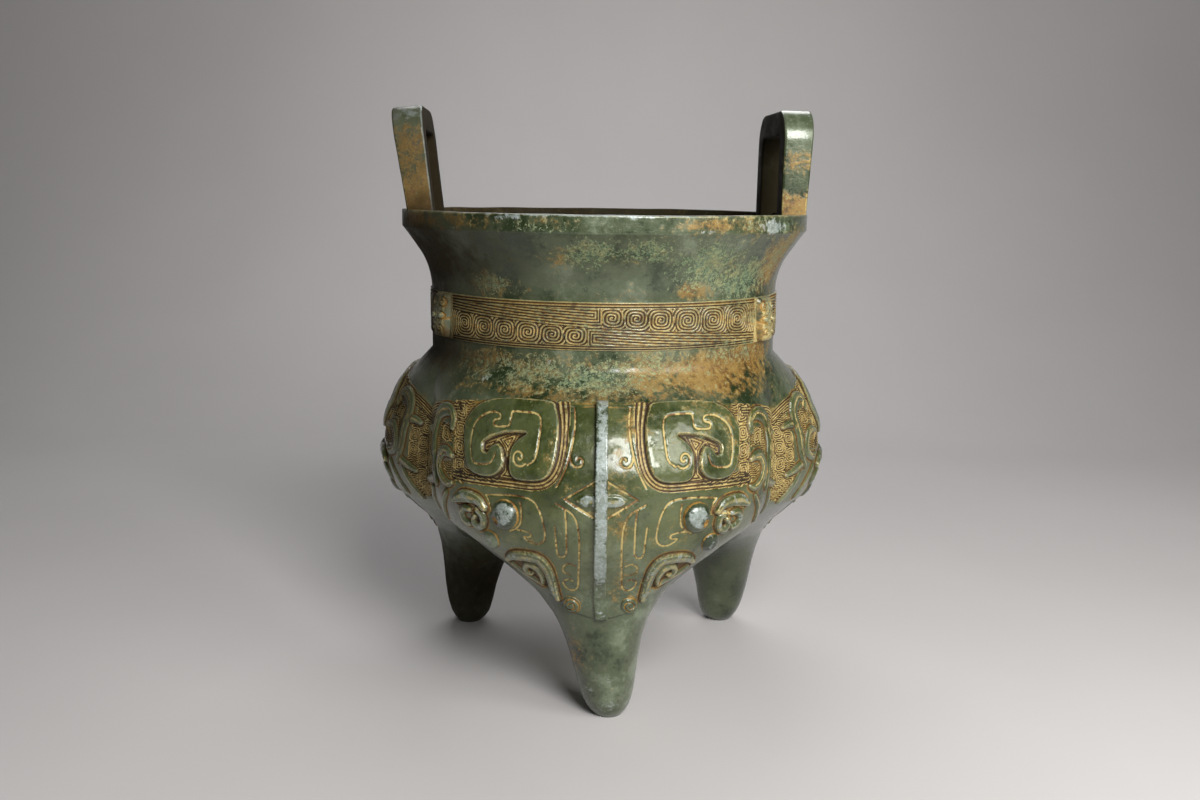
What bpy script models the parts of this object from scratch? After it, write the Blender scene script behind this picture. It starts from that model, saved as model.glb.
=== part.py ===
"""A bronze li vessel: a lobed tripod cauldron with a flared lip and two upright loop handles.

The vessel was cast in one piece, so it is one closed solid called `vessel`. Its body is three bag-shaped
lobes. At every height a lobe's outline is a circle, whose centre moves out from the vessel's axis and
whose radius shrinks on the way down, until the lobe is a round leg. The neck and lip are turned about
the axis. One lobe faces -Y, the handles stand on +X and -X, and the feet rest on Z = 0.

Places on a lobe are given as (along, height): the distance along the lobe's outline from its middle
line, and the height above the feet.
"""

import math

import bmesh
import bpy
import numpy as np
from mathutils import Matrix, Vector

MM = 0.001

# The whole vessel
RIM_RADIUS = 87.5 * MM
RIM_HEIGHT = 200.5 * MM
RIM_WIDTH = 7.5 * MM
LIP_HEIGHT = 7.1 * MM
NECK_RADIUS = 75.2 * MM
WALL = 4.2 * MM
AXIS_Y = 8.4 * MM
LOBES = 3
SIDES = 36
SHARP_ANGLE = math.radians(35.0)

# A lobe's outline at each height: (height, reach from the vessel's axis, radius of the outline)
LOBE_OUTLINE = np.array((
    (0.0, 77.0, 5.5), (4.0, 79.8, 8.8), (10.5, 82.2, 10.9), (19.0, 83.8, 12.6), (30.0, 84.9, 15.0),
    (40.0, 86.0, 18.8), (49.0, 87.4, 26.0), (58.5, 90.0, 39.0), (68.0, 95.2, 54.0), (79.0, 101.0, 68.0),
    (92.0, 103.8, 73.5), (105.0, 103.2, 73.0), (118.0, 97.3, 72.5), (129.0, 88.0, 74.5), (141.0, 75.2, 75.2),
)) * MM
SKIN_LEVELS = (0.0, 4.0, 10.5, 26.0, 40.0, 49.5, 57.0, 64.0, 71.0, 79.0, 89.0, 101.0, 113.0, 123.0, 132.0, 141.0)
CORE_LEVELS = (141.0, 130.0, 117.0, 101.0, 85.0, 75.0, 66.0, 54.0, 42.0)

# The legs stand turned a little from their lobes about the vessel's axis
LEG_TURN = math.radians(3.2)
LEG_TURN_TOP = 55.0 * MM

# The neck: a raised frieze band, then a hollow sweep out to the lip
BAND_BOTTOM = 149.0 * MM
BAND_TOP = 167.0 * MM
BAND_LIFT = 0.6 * MM
BAND_EDGE = 0.5 * MM
SWEEP_RADIUS = 28.0 * MM
SWEEP_ANGLE = math.radians(35.0)
SWEEP_STEPS = 3
MOUTH_SWEEP_RADIUS = 34.0 * MM
MOUTH_SWEEP_ANGLE = math.radians(22.0)
MOUTH_SWEEP_STEPS = 2
MOUTH_SWEEP_START = 174.0 * MM

# The handles: upright straps bent to an arch, standing on the lip
HANDLE_TURN = math.radians(3.2)
HANDLE_INNER = 72.0 * MM
HANDLE_THICKNESS = 10.8 * MM
HANDLE_TOP_THICKNESS = 12.8 * MM
HANDLE_WIDTH = 58.0 * MM
HANDLE_RISE = 43.0 * MM
HANDLE_BAR = 10.5 * MM
HANDLE_CORNER = 13.0 * MM
HANDLE_CORNER_STEPS = 4
HANDLE_CHAMFER = 1.6 * MM
HANDLE_FOOT_OUTER = 195.5 * MM
HANDLE_FOOT_INNER = 181.0 * MM
HANDLE_LEANS = {"right": math.radians(0.5), "left": math.radians(6.5)}

# Relief on the lobes
SUNK = 1.5 * MM
FLANGE_WIDTH = 4.5 * MM
FLANGE_LIFT = 3.2 * MM
FLANGE_TOP = 130.5 * MM
FLANGE_BOTTOM = 45.5 * MM
EYE_PLACE = (37.0 * MM, 89.0 * MM)
EYE_RADIUS = 6.2 * MM
EYE_LIFT = 4.6 * MM
BOSS_PLACE = (45.5 * MM, 76.5 * MM)
BOSS_RADIUS = 4.6 * MM
BOSS_LIFT = 2.8 * MM
CURL_PLACE = (11.0 * MM, 51.2 * MM)
CURL_RADIUS = 4.0 * MM
CURL_LIFT = 2.0 * MM

# Raised bands on one half of a lobe. Their tops are crowned: the top's edge stands at a share of the
# half width and of the lift. Each band has its lift and its (along, height, width) stations.
CROWN_WIDTH = 0.86
CROWN_LIFT = 0.9
HORN_LIFT = 1.3 * MM
HORN = ((28.0, 103.4, 9.0), (27.0, 107.5, 17.5), (26.0, 114.0, 18.5), (25.4, 119.5, 15.5), (28.0, 124.0, 12.0),
        (34.0, 125.0, 10.6), (41.0, 124.2, 10.6), (47.5, 121.6, 10.8), (52.0, 117.0, 11.0),
        (53.2, 111.0, 10.0), (50.5, 106.0, 7.6), (45.6, 104.6, 5.0), (42.2, 109.0, 3.4))
HOOK_LIFT = 1.3 * MM
LARGE_HOOK = ((68.0, 117.0, 3.0), (67.8, 121.8, 4.0), (73.0, 122.6, 4.4), (79.6, 120.2, 4.8),
              (83.8, 113.4, 5.0), (83.8, 103.6, 4.8), (80.6, 94.6, 3.4))
SMALL_HOOK = ((67.4, 107.2, 2.4), (72.4, 107.8, 3.4), (76.8, 104.9, 4.0), (77.2, 100.2, 4.0),
              (74.0, 96.8, 3.6), (69.0, 96.2, 2.6))
RIDGE_LIFT = 1.8 * MM
MOUTH_RIDGE = ((17.6, 55.2, 3.0), (18.8, 61.0, 3.8), (20.8, 67.0, 4.2), (24.6, 71.4, 4.4), (30.0, 72.2, 4.4),
               (35.4, 70.6, 3.4))
TUSK = ((24.6, 61.0, 2.0), (24.8, 65.2, 2.8), (28.0, 67.2, 3.0), (30.0, 64.6, 2.2))
EAR_LIFT = 2.2 * MM
EAR = ((48.4, 91.8, 4.0), (54.0, 92.8, 5.0), (60.4, 91.0, 5.4), (60.4, 85.4, 4.8), (54.6, 82.6, 4.2),
       (50.8, 86.6, 3.0))

# The small beast heads that part the frieze, one above each groove: half widths and lifts by height
HEAD_ROWS = ((149.6, 3.0, 3.4), (153.0, 4.6, 4.2), (158.0, 5.4, 3.4), (162.5, 7.0, 2.8), (166.2, 6.4, 2.0))
HEAD_SECTION = ((-1.0, 0.0), (-0.55, 0.75), (0.0, 1.0), (0.55, 0.75), (1.0, 0.0))
HEAD_SUNK = 1.8 * MM


def profile_value(height, column):
    """Smooth curve through one column of the lobe outline, level wherever the stations turn back."""
    knots = LOBE_OUTLINE[:, 0]
    values = LOBE_OUTLINE[:, column]
    steps = np.diff(knots)
    slopes = np.diff(values) / steps
    tangents = np.empty(len(knots))
    tangents[0] = slopes[0]
    tangents[-1] = slopes[-1]
    for i in range(1, len(knots) - 1):
        before, after = slopes[i - 1], slopes[i]
        tangents[i] = 2 * before * after / (before + after) if before * after > 0 else 0.0
    height = min(max(height, knots[0]), knots[-1])
    i = min(int(np.searchsorted(knots, height, side="right")) - 1, len(knots) - 2)
    t = (height - knots[i]) / steps[i]
    start = (1 + 2 * t) * (1 - t) ** 2 * values[i] + t * (1 - t) ** 2 * steps[i] * tangents[i]
    return start + t * t * (3 - 2 * t) * values[i + 1] + t * t * (t - 1) * steps[i] * tangents[i + 1]


def lobe_section(height):
    """Centre distance and radius of the lobe's round outline at a height."""
    reach = profile_value(height, 1)
    radius = profile_value(height, 2)
    return reach - radius, radius


def leg_turn(height):
    """Angle by which the leg has turned from its lobe at a height."""
    return LEG_TURN * max(0.0, 1 - height / LEG_TURN_TOP)


def lobe_point(along, height, lift=0.0):
    """Point at (along, height) on the lobe that faces -Y, raised square to the skin by lift."""
    def on_skin(a, h):
        centre, radius = lobe_section(h)
        angle = a / radius
        turn = Matrix.Rotation(leg_turn(h), 3, "Z")
        return turn @ Vector((radius * math.sin(angle), -centre - radius * math.cos(angle), h))
    step = 0.1 * MM
    point = on_skin(along, height)
    across = on_skin(along + step, height) - on_skin(along - step, height)
    upward = on_skin(along, height + step) - on_skin(along, height - step)
    return point + across.cross(upward).normalized() * lift


def skin_rings():
    """Outside of the vessel from the foot up to the rim: (height, centre distance, radius)."""
    rings = []
    for level in SKIN_LEVELS:
        centre, radius = lobe_section(level * MM)
        rings.append((level * MM, centre, radius))
    rings.append((BAND_BOTTOM - BAND_EDGE, 0.0, NECK_RADIUS))
    rings.append((BAND_BOTTOM, 0.0, NECK_RADIUS + BAND_LIFT))
    rings.append((BAND_TOP, 0.0, NECK_RADIUS + BAND_LIFT))
    for i in range(SWEEP_STEPS + 1):
        angle = SWEEP_ANGLE * i / SWEEP_STEPS
        rings.append((BAND_TOP + BAND_EDGE + SWEEP_RADIUS * math.sin(angle), 0.0,
                      NECK_RADIUS + SWEEP_RADIUS * (1 - math.cos(angle))))
    rings.append((RIM_HEIGHT - LIP_HEIGHT, 0.0, RIM_RADIUS))
    rings.append((RIM_HEIGHT, 0.0, RIM_RADIUS))
    return rings


def core_rings():
    """Inside of the vessel from the rim down to the hollow's floor in the leg."""
    inner = NECK_RADIUS - WALL
    rings = [(RIM_HEIGHT, 0.0, RIM_RADIUS - RIM_WIDTH)]
    for i in range(MOUTH_SWEEP_STEPS, -1, -1):
        angle = MOUTH_SWEEP_ANGLE * i / MOUTH_SWEEP_STEPS
        rings.append((MOUTH_SWEEP_START + MOUTH_SWEEP_RADIUS * math.sin(angle), 0.0,
                      inner + MOUTH_SWEEP_RADIUS * (1 - math.cos(angle))))
    for level in CORE_LEVELS:
        height = level * MM
        centre, radius = lobe_section(height)
        step = 0.5 * MM
        growth = (lobe_section(height + step)[1] - lobe_section(height - step)[1]) / (2 * step)
        lean = math.hypot(1.0, growth)
        rings.append((height + WALL * growth / lean, centre, radius - WALL / lean))
    return rings


def lobe_sector():
    """One lobe with its third of the neck and rim, outside and inside, cut along its two grooves."""
    mesh = bmesh.new()
    loops = []
    for height, centre, radius in skin_rings() + core_rings():
        turn = Matrix.Rotation(leg_turn(height) if height < LEG_TURN_TOP else 0.0, 3, "Z")
        loop = []
        for i in range(SIDES):
            angle = 2 * math.pi * i / SIDES
            place = Vector((radius * math.sin(angle), -centre - radius * math.cos(angle), height))
            loop.append(mesh.verts.new(turn @ place))
        loops.append(loop)
    for low, high in zip(loops[:-1], loops[1:]):
        for i in range(SIDES):
            j = (i + 1) % SIDES
            mesh.faces.new((low[i], low[j], high[j], high[i]))
    mesh.faces.new(reversed(loops[0]))
    mesh.faces.new(loops[-1])
    half = math.pi / LOBES
    for side in (-1, 1):
        outward = Vector((side * math.cos(half), math.sin(half), 0.0))
        geometry = mesh.verts[:] + mesh.edges[:] + mesh.faces[:]
        bmesh.ops.bisect_plane(mesh, geom=geometry, dist=1e-6, plane_co=(0, 0, 0), plane_no=outward,
                               clear_outer=True)
    return mesh


def repeat_around(mesh, count, start=0.0):
    """Copies of a mesh turned about the vessel's axis, in place of the one given."""
    source = bpy.data.meshes.new("source")
    mesh.to_mesh(source)
    mesh.free()
    whole = bmesh.new()
    for i in range(count):
        turned = source.copy()
        turned.transform(Matrix.Rotation(start + 2 * math.pi * i / count, 4, "Z"))
        whole.from_mesh(turned)
        bpy.data.meshes.remove(turned)
    bpy.data.meshes.remove(source)
    return whole


def add_loft(mesh, loops):
    """Closed solid through a row of equal loops, which turn anticlockwise seen from the last one."""
    rows = [[mesh.verts.new(point) for point in loop] for loop in loops]
    count = len(rows[0])
    for low, high in zip(rows[:-1], rows[1:]):
        for i in range(count):
            j = (i + 1) % count
            mesh.faces.new((low[i], low[j], high[j], high[i]))
    mesh.faces.new(reversed(rows[0]))
    mesh.faces.new(rows[-1])


def add_band(mesh, stations, lift, side):
    """Raised band on the lobe: slanted edges, a crowned top, and a root sunk in the wall."""
    places = [Vector((side * along * MM, height * MM)) for along, height, _ in stations]
    loops = []
    for i, place in enumerate(places):
        ahead = places[min(i + 1, len(places) - 1)] - places[max(i - 1, 0)]
        ahead.normalize()
        across = Vector((ahead.y, -ahead.x)) * stations[i][2] * MM / 2
        edge = lift * CROWN_LIFT
        section = ((-1.0, -SUNK), (1.0, -SUNK), (CROWN_WIDTH, edge), (0.0, lift), (-CROWN_WIDTH, edge))
        loops.append([lobe_point(*(place + across * share), rise) for share, rise in section])
    add_loft(mesh, loops)


def add_dome(mesh, place, radius, lift, side, sides, rings):
    """Round boss on the lobe, a flattened half ball with its root sunk in the wall."""
    loops = []
    steps = [(radius, -SUNK)]
    for i in range(rings):
        angle = math.pi / 2 * i / rings
        steps.append((radius * math.cos(angle), lift * math.sin(angle)))
    for reach, rise in steps:
        loop = []
        for j in range(sides):
            angle = 2 * math.pi * j / sides
            loop.append(lobe_point(side * place[0] + reach * math.cos(angle),
                                   place[1] + reach * math.sin(angle), rise))
        loops.append(loop)
    add_loft(mesh, loops)


def flange():
    """Upright fin down the middle of the lobe."""
    mesh = bmesh.new()
    loops = []
    levels = np.linspace(FLANGE_BOTTOM, FLANGE_TOP, 9)
    for height in levels:
        half = FLANGE_WIDTH / 2
        corners = ((-half, -SUNK), (half, -SUNK), (half, FLANGE_LIFT), (-half, FLANGE_LIFT))
        loops.append([lobe_point(along, float(height), rise) for along, rise in corners])
    add_loft(mesh, [list(reversed(loop)) for loop in loops])
    return mesh


def halves(build):
    """Both halves of the mask from one building step, which takes the side as 1 or -1."""
    mesh = bmesh.new()
    for side in (1, -1):
        build(mesh, side)
    return mesh


def horns():
    return halves(lambda mesh, side: add_band(mesh, HORN, HORN_LIFT, side))


def hooks():
    def build(mesh, side):
        add_band(mesh, LARGE_HOOK, HOOK_LIFT, side)
        add_band(mesh, SMALL_HOOK, HOOK_LIFT, side)
    return halves(build)


def jaws():
    def build(mesh, side):
        add_band(mesh, MOUTH_RIDGE, RIDGE_LIFT, side)
        add_band(mesh, TUSK, RIDGE_LIFT, side)
    return halves(build)


def ears():
    return halves(lambda mesh, side: add_band(mesh, EAR, EAR_LIFT, side))


def bosses():
    def build(mesh, side):
        add_dome(mesh, EYE_PLACE, EYE_RADIUS, EYE_LIFT, side, sides=8, rings=3)
        add_dome(mesh, BOSS_PLACE, BOSS_RADIUS, BOSS_LIFT, side, sides=7, rings=2)
        add_dome(mesh, CURL_PLACE, CURL_RADIUS, CURL_LIFT, side, sides=7, rings=2)
    return halves(build)


def beast_head():
    """Small head on the frieze at -Y: narrow snout below, brow and ears above, with a ridge down it."""
    mesh = bmesh.new()
    loops = []
    surface = NECK_RADIUS + BAND_LIFT
    for height, half, lift in HEAD_ROWS:
        loop = []
        for share, rise in HEAD_SECTION:
            angle = share * half * MM / surface
            reach = surface + rise * lift * MM - (HEAD_SUNK if rise == 0.0 else 0.0)
            loop.append(Vector((reach * math.sin(angle), -reach * math.cos(angle), height * MM)))
        loops.append(loop)
    add_loft(mesh, loops)
    return mesh


def handle(lean):
    """Arched strap on the +X side, leaning outward about its foot."""
    mesh = bmesh.new()
    bottom = HANDLE_FOOT_INNER
    top = RIM_HEIGHT + HANDLE_RISE
    half = HANDLE_WIDTH / 2
    corner = HANDLE_CORNER
    path = [(half, bottom, 1.0, 0.0)]
    for i in range(HANDLE_CORNER_STEPS + 1):
        angle = math.pi / 2 * i / HANDLE_CORNER_STEPS
        path.append((half - corner + corner * math.cos(angle), top - corner + corner * math.sin(angle),
                     math.cos(angle), math.sin(angle)))
    path += [(-y, z, -ny, nz) for y, z, ny, nz in reversed(path)]
    cut = HANDLE_CHAMFER
    loops = []
    for y, z, ny, nz in path:
        rise = max(0.0, z - RIM_HEIGHT) / HANDLE_RISE
        thick = HANDLE_THICKNESS + (HANDLE_TOP_THICKNESS - HANDLE_THICKNESS) * rise
        section = ((cut, 0.0), (0.0, cut), (0.0, HANDLE_BAR - cut), (cut, HANDLE_BAR),
                   (thick - cut, HANDLE_BAR), (thick, HANDLE_BAR - cut), (thick, cut), (thick - cut, 0.0))
        loop = []
        for out, inward in section:
            height = z - nz * inward
            if z == bottom:
                height = bottom + (HANDLE_FOOT_OUTER - HANDLE_FOOT_INNER) * out / thick
            loop.append(Vector((HANDLE_INNER + out, y - ny * inward, height)))
        loops.append(loop)
    add_loft(mesh, loops)
    pivot = Vector((HANDLE_INNER, 0.0, RIM_HEIGHT))
    bmesh.ops.rotate(mesh, verts=mesh.verts, cent=pivot, matrix=Matrix.Rotation(lean, 3, "Y"))
    return mesh


def handles():
    """Both handles, turned a little from the X axis."""
    both = bmesh.new()
    for name, around in (("right", 0.0), ("left", math.pi)):
        mesh = handle(HANDLE_LEANS[name])
        turned = repeat_around(mesh, 1, HANDLE_TURN + around)
        store = bpy.data.meshes.new("store")
        turned.to_mesh(store)
        turned.free()
        both.from_mesh(store)
        bpy.data.meshes.remove(store)
    return both


def new_object(name, mesh):
    """Object from a finished mesh, faces turned outward, set on the vessel's axis."""
    bmesh.ops.remove_doubles(mesh, verts=mesh.verts, dist=1e-5)
    bmesh.ops.recalc_face_normals(mesh, faces=mesh.faces)
    bmesh.ops.translate(mesh, verts=mesh.verts, vec=(0.0, AXIS_Y, 0.0))
    data = bpy.data.meshes.new(name)
    mesh.to_mesh(data)
    mesh.free()
    made = bpy.data.objects.new(name, data)
    bpy.context.collection.objects.link(made)
    return made


def join_relief(vessel, name, mesh):
    """Cast a raised form onto the vessel."""
    form = new_object(name, mesh)
    form.hide_render = True
    form.display_type = "WIRE"
    union = vessel.modifiers.new(name, "BOOLEAN")
    union.operation = "UNION"
    union.solver = "EXACT"
    union.object = form


def bronze():
    """Old bronze under a green-brown patina."""
    material = bpy.data.materials.new("bronze")
    material.use_nodes = True
    shader = material.node_tree.nodes["Principled BSDF"]
    shader.inputs["Base Color"].default_value = (0.13, 0.14, 0.07, 1.0)
    shader.inputs["Roughness"].default_value = 0.42
    shader.inputs["Metallic"].default_value = 0.35
    return material


def main():
    for old in list(bpy.data.objects):
        bpy.data.objects.remove(old)
    vessel = new_object("vessel", repeat_around(lobe_sector(), LOBES))
    vessel.data.materials.append(bronze())
    join_relief(vessel, "handle_forms", handles())
    join_relief(vessel, "head_forms", repeat_around(beast_head(), LOBES, math.pi / LOBES))
    for name, build in (("flange_forms", flange), ("horn_forms", horns), ("hook_forms", hooks),
                        ("ear_forms", ears), ("jaw_forms", jaws), ("boss_forms", bosses)):
        join_relief(vessel, name, repeat_around(build(), LOBES))
    vessel.data.shade_smooth()
    vessel.data.set_sharp_from_angle(angle=SHARP_ANGLE)


main()
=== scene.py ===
"""Bronze li vessel: a lobed tripod cauldron with a mask on each lobe, a frieze of spirals and two handles.

Run as a script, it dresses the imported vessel: each operator below adds one piece, or a group of like
pieces, as a surface worked out with numpy. All shapes are worked out in millimetres about the vessel's
own axis, and are turned into metres when a piece is made. A place on a lobe is (along, height): the
distance along the lobe's outline from its middle line, and the height above the feet.
"""

import math

import bmesh
import bpy
import numpy as np
from mathutils import Matrix, Vector


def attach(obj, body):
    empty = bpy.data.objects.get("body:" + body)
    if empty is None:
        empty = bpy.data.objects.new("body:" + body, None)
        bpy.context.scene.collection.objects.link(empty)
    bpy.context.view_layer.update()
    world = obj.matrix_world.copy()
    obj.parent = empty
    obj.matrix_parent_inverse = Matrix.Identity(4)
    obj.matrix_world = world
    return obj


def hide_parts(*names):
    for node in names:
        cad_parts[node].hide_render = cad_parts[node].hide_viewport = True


bl_info = {
    "name": "Bronze Li Vessel",
    "version": (1, 0, 0),
    "blender": (4, 5, 0),
    "location": "View3D > Sidebar > Li Vessel",
    "description": "A lobed bronze tripod with cast masks, a spiral frieze, two handles and an old patina",
    "category": "Add Mesh",
}

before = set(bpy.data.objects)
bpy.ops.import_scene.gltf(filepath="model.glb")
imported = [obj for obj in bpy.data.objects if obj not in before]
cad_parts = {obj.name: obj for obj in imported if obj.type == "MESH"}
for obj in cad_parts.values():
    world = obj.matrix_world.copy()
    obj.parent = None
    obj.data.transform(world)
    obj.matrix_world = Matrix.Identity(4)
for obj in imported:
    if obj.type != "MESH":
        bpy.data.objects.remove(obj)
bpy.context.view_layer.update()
BODY = "root"
NODE = "vessel"

# Sizes here are in millimetres, and heights are above the feet. The vessel's axis stands at y = AXIS_Y.
MM = 0.001
AXIS_Y = 8.4
WALL = 4.2
LOBES = {"front": 0.0, "right": 120.0, "left": 240.0}
SECTOR = math.radians(60.0)

# A lobe's outline at each height: (height, reach from the vessel's axis, radius of the round outline)
LOBE_OUTLINE = np.array((
    (0.0, 77.0, 5.5), (4.0, 79.8, 8.8), (10.5, 82.2, 10.9), (19.0, 83.8, 12.6), (30.0, 84.9, 15.0),
    (40.0, 86.0, 18.8), (49.0, 87.4, 26.0), (58.5, 90.0, 39.0), (68.0, 95.2, 54.0), (79.0, 101.0, 68.0),
    (92.0, 103.8, 73.5), (105.0, 103.2, 73.0), (118.0, 97.3, 72.5), (129.0, 88.0, 74.5), (141.0, 75.2, 75.2),
))
LEG_TURN = math.radians(3.2)
LEG_TURN_TOP = 55.0
SHOULDER = 141.0
# How far the skin lies back under the masks
SKIN_BACK = 0.56
# Lowest height at which two lobes meet, and the floor of the hollow in each leg
CROTCH = 61.5
POCKET_FLOOR = 42.0

# How far the frieze and its heads, the masks, the fins and the bosses reach into the wall
BAND_ROOT = -1.2
MASK_ROOT = -1.1
FLANGE_ROOT = -1.4
BOSS_ROOT = -1.2

# Neck and lip
NECK_RADIUS = 75.2
BAND = (149.0, 167.0)
BAND_LIFT = 0.6
SWEEP_START = 167.5
SWEEP_RADIUS = 28.0
SWEEP_ANGLE = math.radians(35.0)
LIP_BOTTOM = 193.4
RIM_HEIGHT = 200.5
RIM_RADIUS = 87.5
MOUTH_RADIUS = 80.0
MOUTH_SWEEP_START = 174.0
MOUTH_SWEEP_RADIUS = 34.0
MOUTH_SWEEP_ANGLE = math.radians(22.0)
# What lies nearer to the axis than this, at these heights, is inside the mouth
BORE_HEIGHTS = (141.0, 172.0, 194.0, 200.5)
BORE_RADII = (73.2, 73.2, 82.0, 81.0)
ARRIS = 0.7

# Handles
HANDLE_TURN = math.radians(3.2)
HANDLE_INNER = 72.0
HANDLE_THICKNESS = (10.8, 12.8)
HANDLE_HALF = 29.0
HANDLE_RISE = 42.9
HANDLE_BAR = 10.5
HANDLE_CORNER = 13.0
HANDLE_ARRIS = 1.1
HANDLE_FOOT = (181.0, 195.5)
# Rust and bare metal on the handles' sides: (height, half height, amount)
HANDLE_WEAR = {"right": (((222, 6, 0.42), (204, 7, 0.58)), ((240, 4, 0.20), (231, 5, 0.14))),
               "left": (((230, 8, 0.38), (216, 10, 0.42), (204, 7, 0.52)), ((240, 3, 0.36),))}
HANDLE_LEANS = {"right": math.radians(0.5), "left": math.radians(6.5)}

# ---------------------------------------------------------------- the mask's drawing, on one half of a lobe
# Every place is (along, height); a third number is a width.
PANEL_TOP = ((0, 131.0), (20, 130.5), (40, 129.8), (50, 128.6), (60, 127.4), (70, 126.2), (80, 124.9),
             (85, 124.0), (90, 122.6), (95, 120.7), (100, 118.7), (106, 116.4))
PANEL_FOOT = ((0, 46.0), (4, 46.0), (8, 47.0), (14, 49.2), (17, 52.0), (26, 57.0), (36, 62.2), (45, 68.0),
              (55, 72.6), (65, 75.2), (75, 76.7), (85, 77.8), (95, 79.2), (106, 82.0))
LOZENGE = ((0, 105.6), (2.3, 104.3), (13.5, 97.3), (2.3, 90.5), (0, 89.2))
FOREHEAD_LINE = ((10.4, 128.5), (10.0, 124), (10.5, 118.5), (11.7, 113), (13.5, 107.6), (16.6, 101.6))
HORN = ((19, 130), (17.5, 128), (16.3, 124), (16.2, 118), (17, 112), (18.5, 107.5), (21, 104.5),
        (25, 103.3), (30, 103), (33, 103.4), (34.8, 105.2), (35.3, 108), (35.3, 111), (34.4, 114),
        (32, 116.6), (28.6, 119.2), (35, 119), (40, 118), (46, 115.5), (48.2, 113.6), (47.6, 111.2),
        (45.4, 111), (44, 113), (41, 114.5), (39, 113), (38, 109), (39, 106), (42, 103.5), (47, 102.3),
        (52, 102.8), (55, 104.5), (57, 108), (58.3, 114), (57.8, 120), (54, 124.5), (48, 128), (40, 129.8),
        (29, 130.4))
HORN_LINES = (
    ((27.5, 108.5), (24.5, 111), (23.3, 117), (22.8, 123), (24.5, 125.5), (31, 125.8), (34.5, 125.5),
     (35, 123.5), (36, 121), (40, 120.3), (42.5, 120.5), (42.6, 122), (39.9, 123), (40.4, 124.6),
     (45, 124.5), (50, 122), (53, 118.5), (54, 113), (53, 108), (51, 106.5), (46, 106.9), (43, 108.2),
     (41.5, 111.2)),
)
SLOT_FILL = ((28, 120), (35, 119.6), (48.8, 114.6), (48.8, 110.2), (45, 110.4), (41, 115), (38.8, 113),
             (38.2, 106), (41.5, 102.4), (32, 102.4), (35.0, 106), (35.1, 112), (31.8, 117.4))
HORN_EDGE_GUIDE = ((15.0, 130.4), (14.1, 124), (14.2, 117), (15.2, 110.8), (17.0, 106.2), (20.6, 102.6),
                   (26, 101.2), (38, 101.0), (52, 100.2), (66, 99.3))
LARGE_HOOK = ((67.6, 116.6, 2.2), (66.8, 120.4, 3.6), (69.4, 122.6, 4.4), (74, 122.4, 4.8), (80, 119.8, 5.0),
              (83.6, 114, 5.2), (84.2, 106, 5.0), (82.8, 99, 4.6), (80.2, 93.8, 3.2))
SMALL_HOOK = ((66.6, 106.8, 2.2), (70, 107.6, 3.4), (74.4, 107, 4.0), (77.6, 103.4, 4.2), (77.4, 99.4, 4.2),
              (74, 96.6, 3.8), (69.4, 95.4, 3.0), (66, 96.4, 1.6))
BARBS = (
    ((85.0, 112.6, 3.8), (89.4, 112.9, 3.2), (94.4, 112.0, 1.6)),
    ((83.2, 94.6, 3.4), (88.0, 93.2, 3.6), (95.6, 91.6, 1.8)),
    ((85.4, 90.4, 2.6), (87.6, 85.4, 3.4), (89.6, 79.6, 2.4)),
    ((70.8, 91.6, 2.2), (74.6, 86.6, 3.2), (76.4, 79.6, 2.4)),
)
HOOK_LINES = (
    ((69, 118), (68.2, 120.6), (70.4, 122.5), (75.4, 121.9), (80.6, 118.8), (83.6, 113), (84.2, 105),
     (82.4, 98)),
    ((70, 106.9), (74, 106.4), (76.8, 103.2), (76.4, 99.8), (73.4, 97), (69.6, 96)),
)
EAR = (
    ((46.6, 90.2, 2.6), (49.6, 92.6, 4.0), (54, 93.2, 4.6), (59, 92.6, 4.8), (63.6, 90.6, 2.8)),
    ((50.6, 89.2, 2.2), (47.9, 87.0, 3.0), (48.0, 83.4, 3.4), (51.0, 81.6, 3.4), (53.2, 83.8, 2.8),
     (51.8, 86.2, 2.0)),
    ((54.6, 88.0, 2.0), (58.0, 88.0, 3.0), (60.4, 85.4, 3.2), (58.8, 82.4, 3.2), (55.8, 81.8, 2.4)),
)
EAR_LINES = (
    ((53.9, 82.4), (53.9, 86.6), (52.6, 88.9), (48.4, 89.4)),
    ((54.6, 90.3), (58, 90.0), (62.6, 88.6)),
)
RIDGE = ((16.6, 53.2, 2.2), (17.8, 57.4, 3.2), (18.8, 62, 3.6), (20.4, 67.6, 4.0), (23.8, 71.8, 4.4),
         (29.6, 72.5, 4.4), (34.8, 71.6, 4.0), (38.2, 69.2, 2.4))
JAW_PIT = ((21.0, 57.2), (21.6, 63), (23.0, 68.0), (27, 70.2), (33, 70.2), (38.0, 67.6), (37.4, 64.4),
           (30, 59.8))
TUSK = ((23.0, 59.6, 1.6), (23.0, 63.4, 2.6), (24.8, 66.8, 3.2), (28.2, 68.0, 3.2), (30.2, 66.2, 2.8),
        (29.6, 63.8, 2.2), (27.4, 63.4, 1.4))
JAW = ((23.6, 58.2, 1.8), (28.4, 60.4, 2.6), (33.4, 62.8, 2.8), (37.2, 66.0, 1.8))
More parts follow.
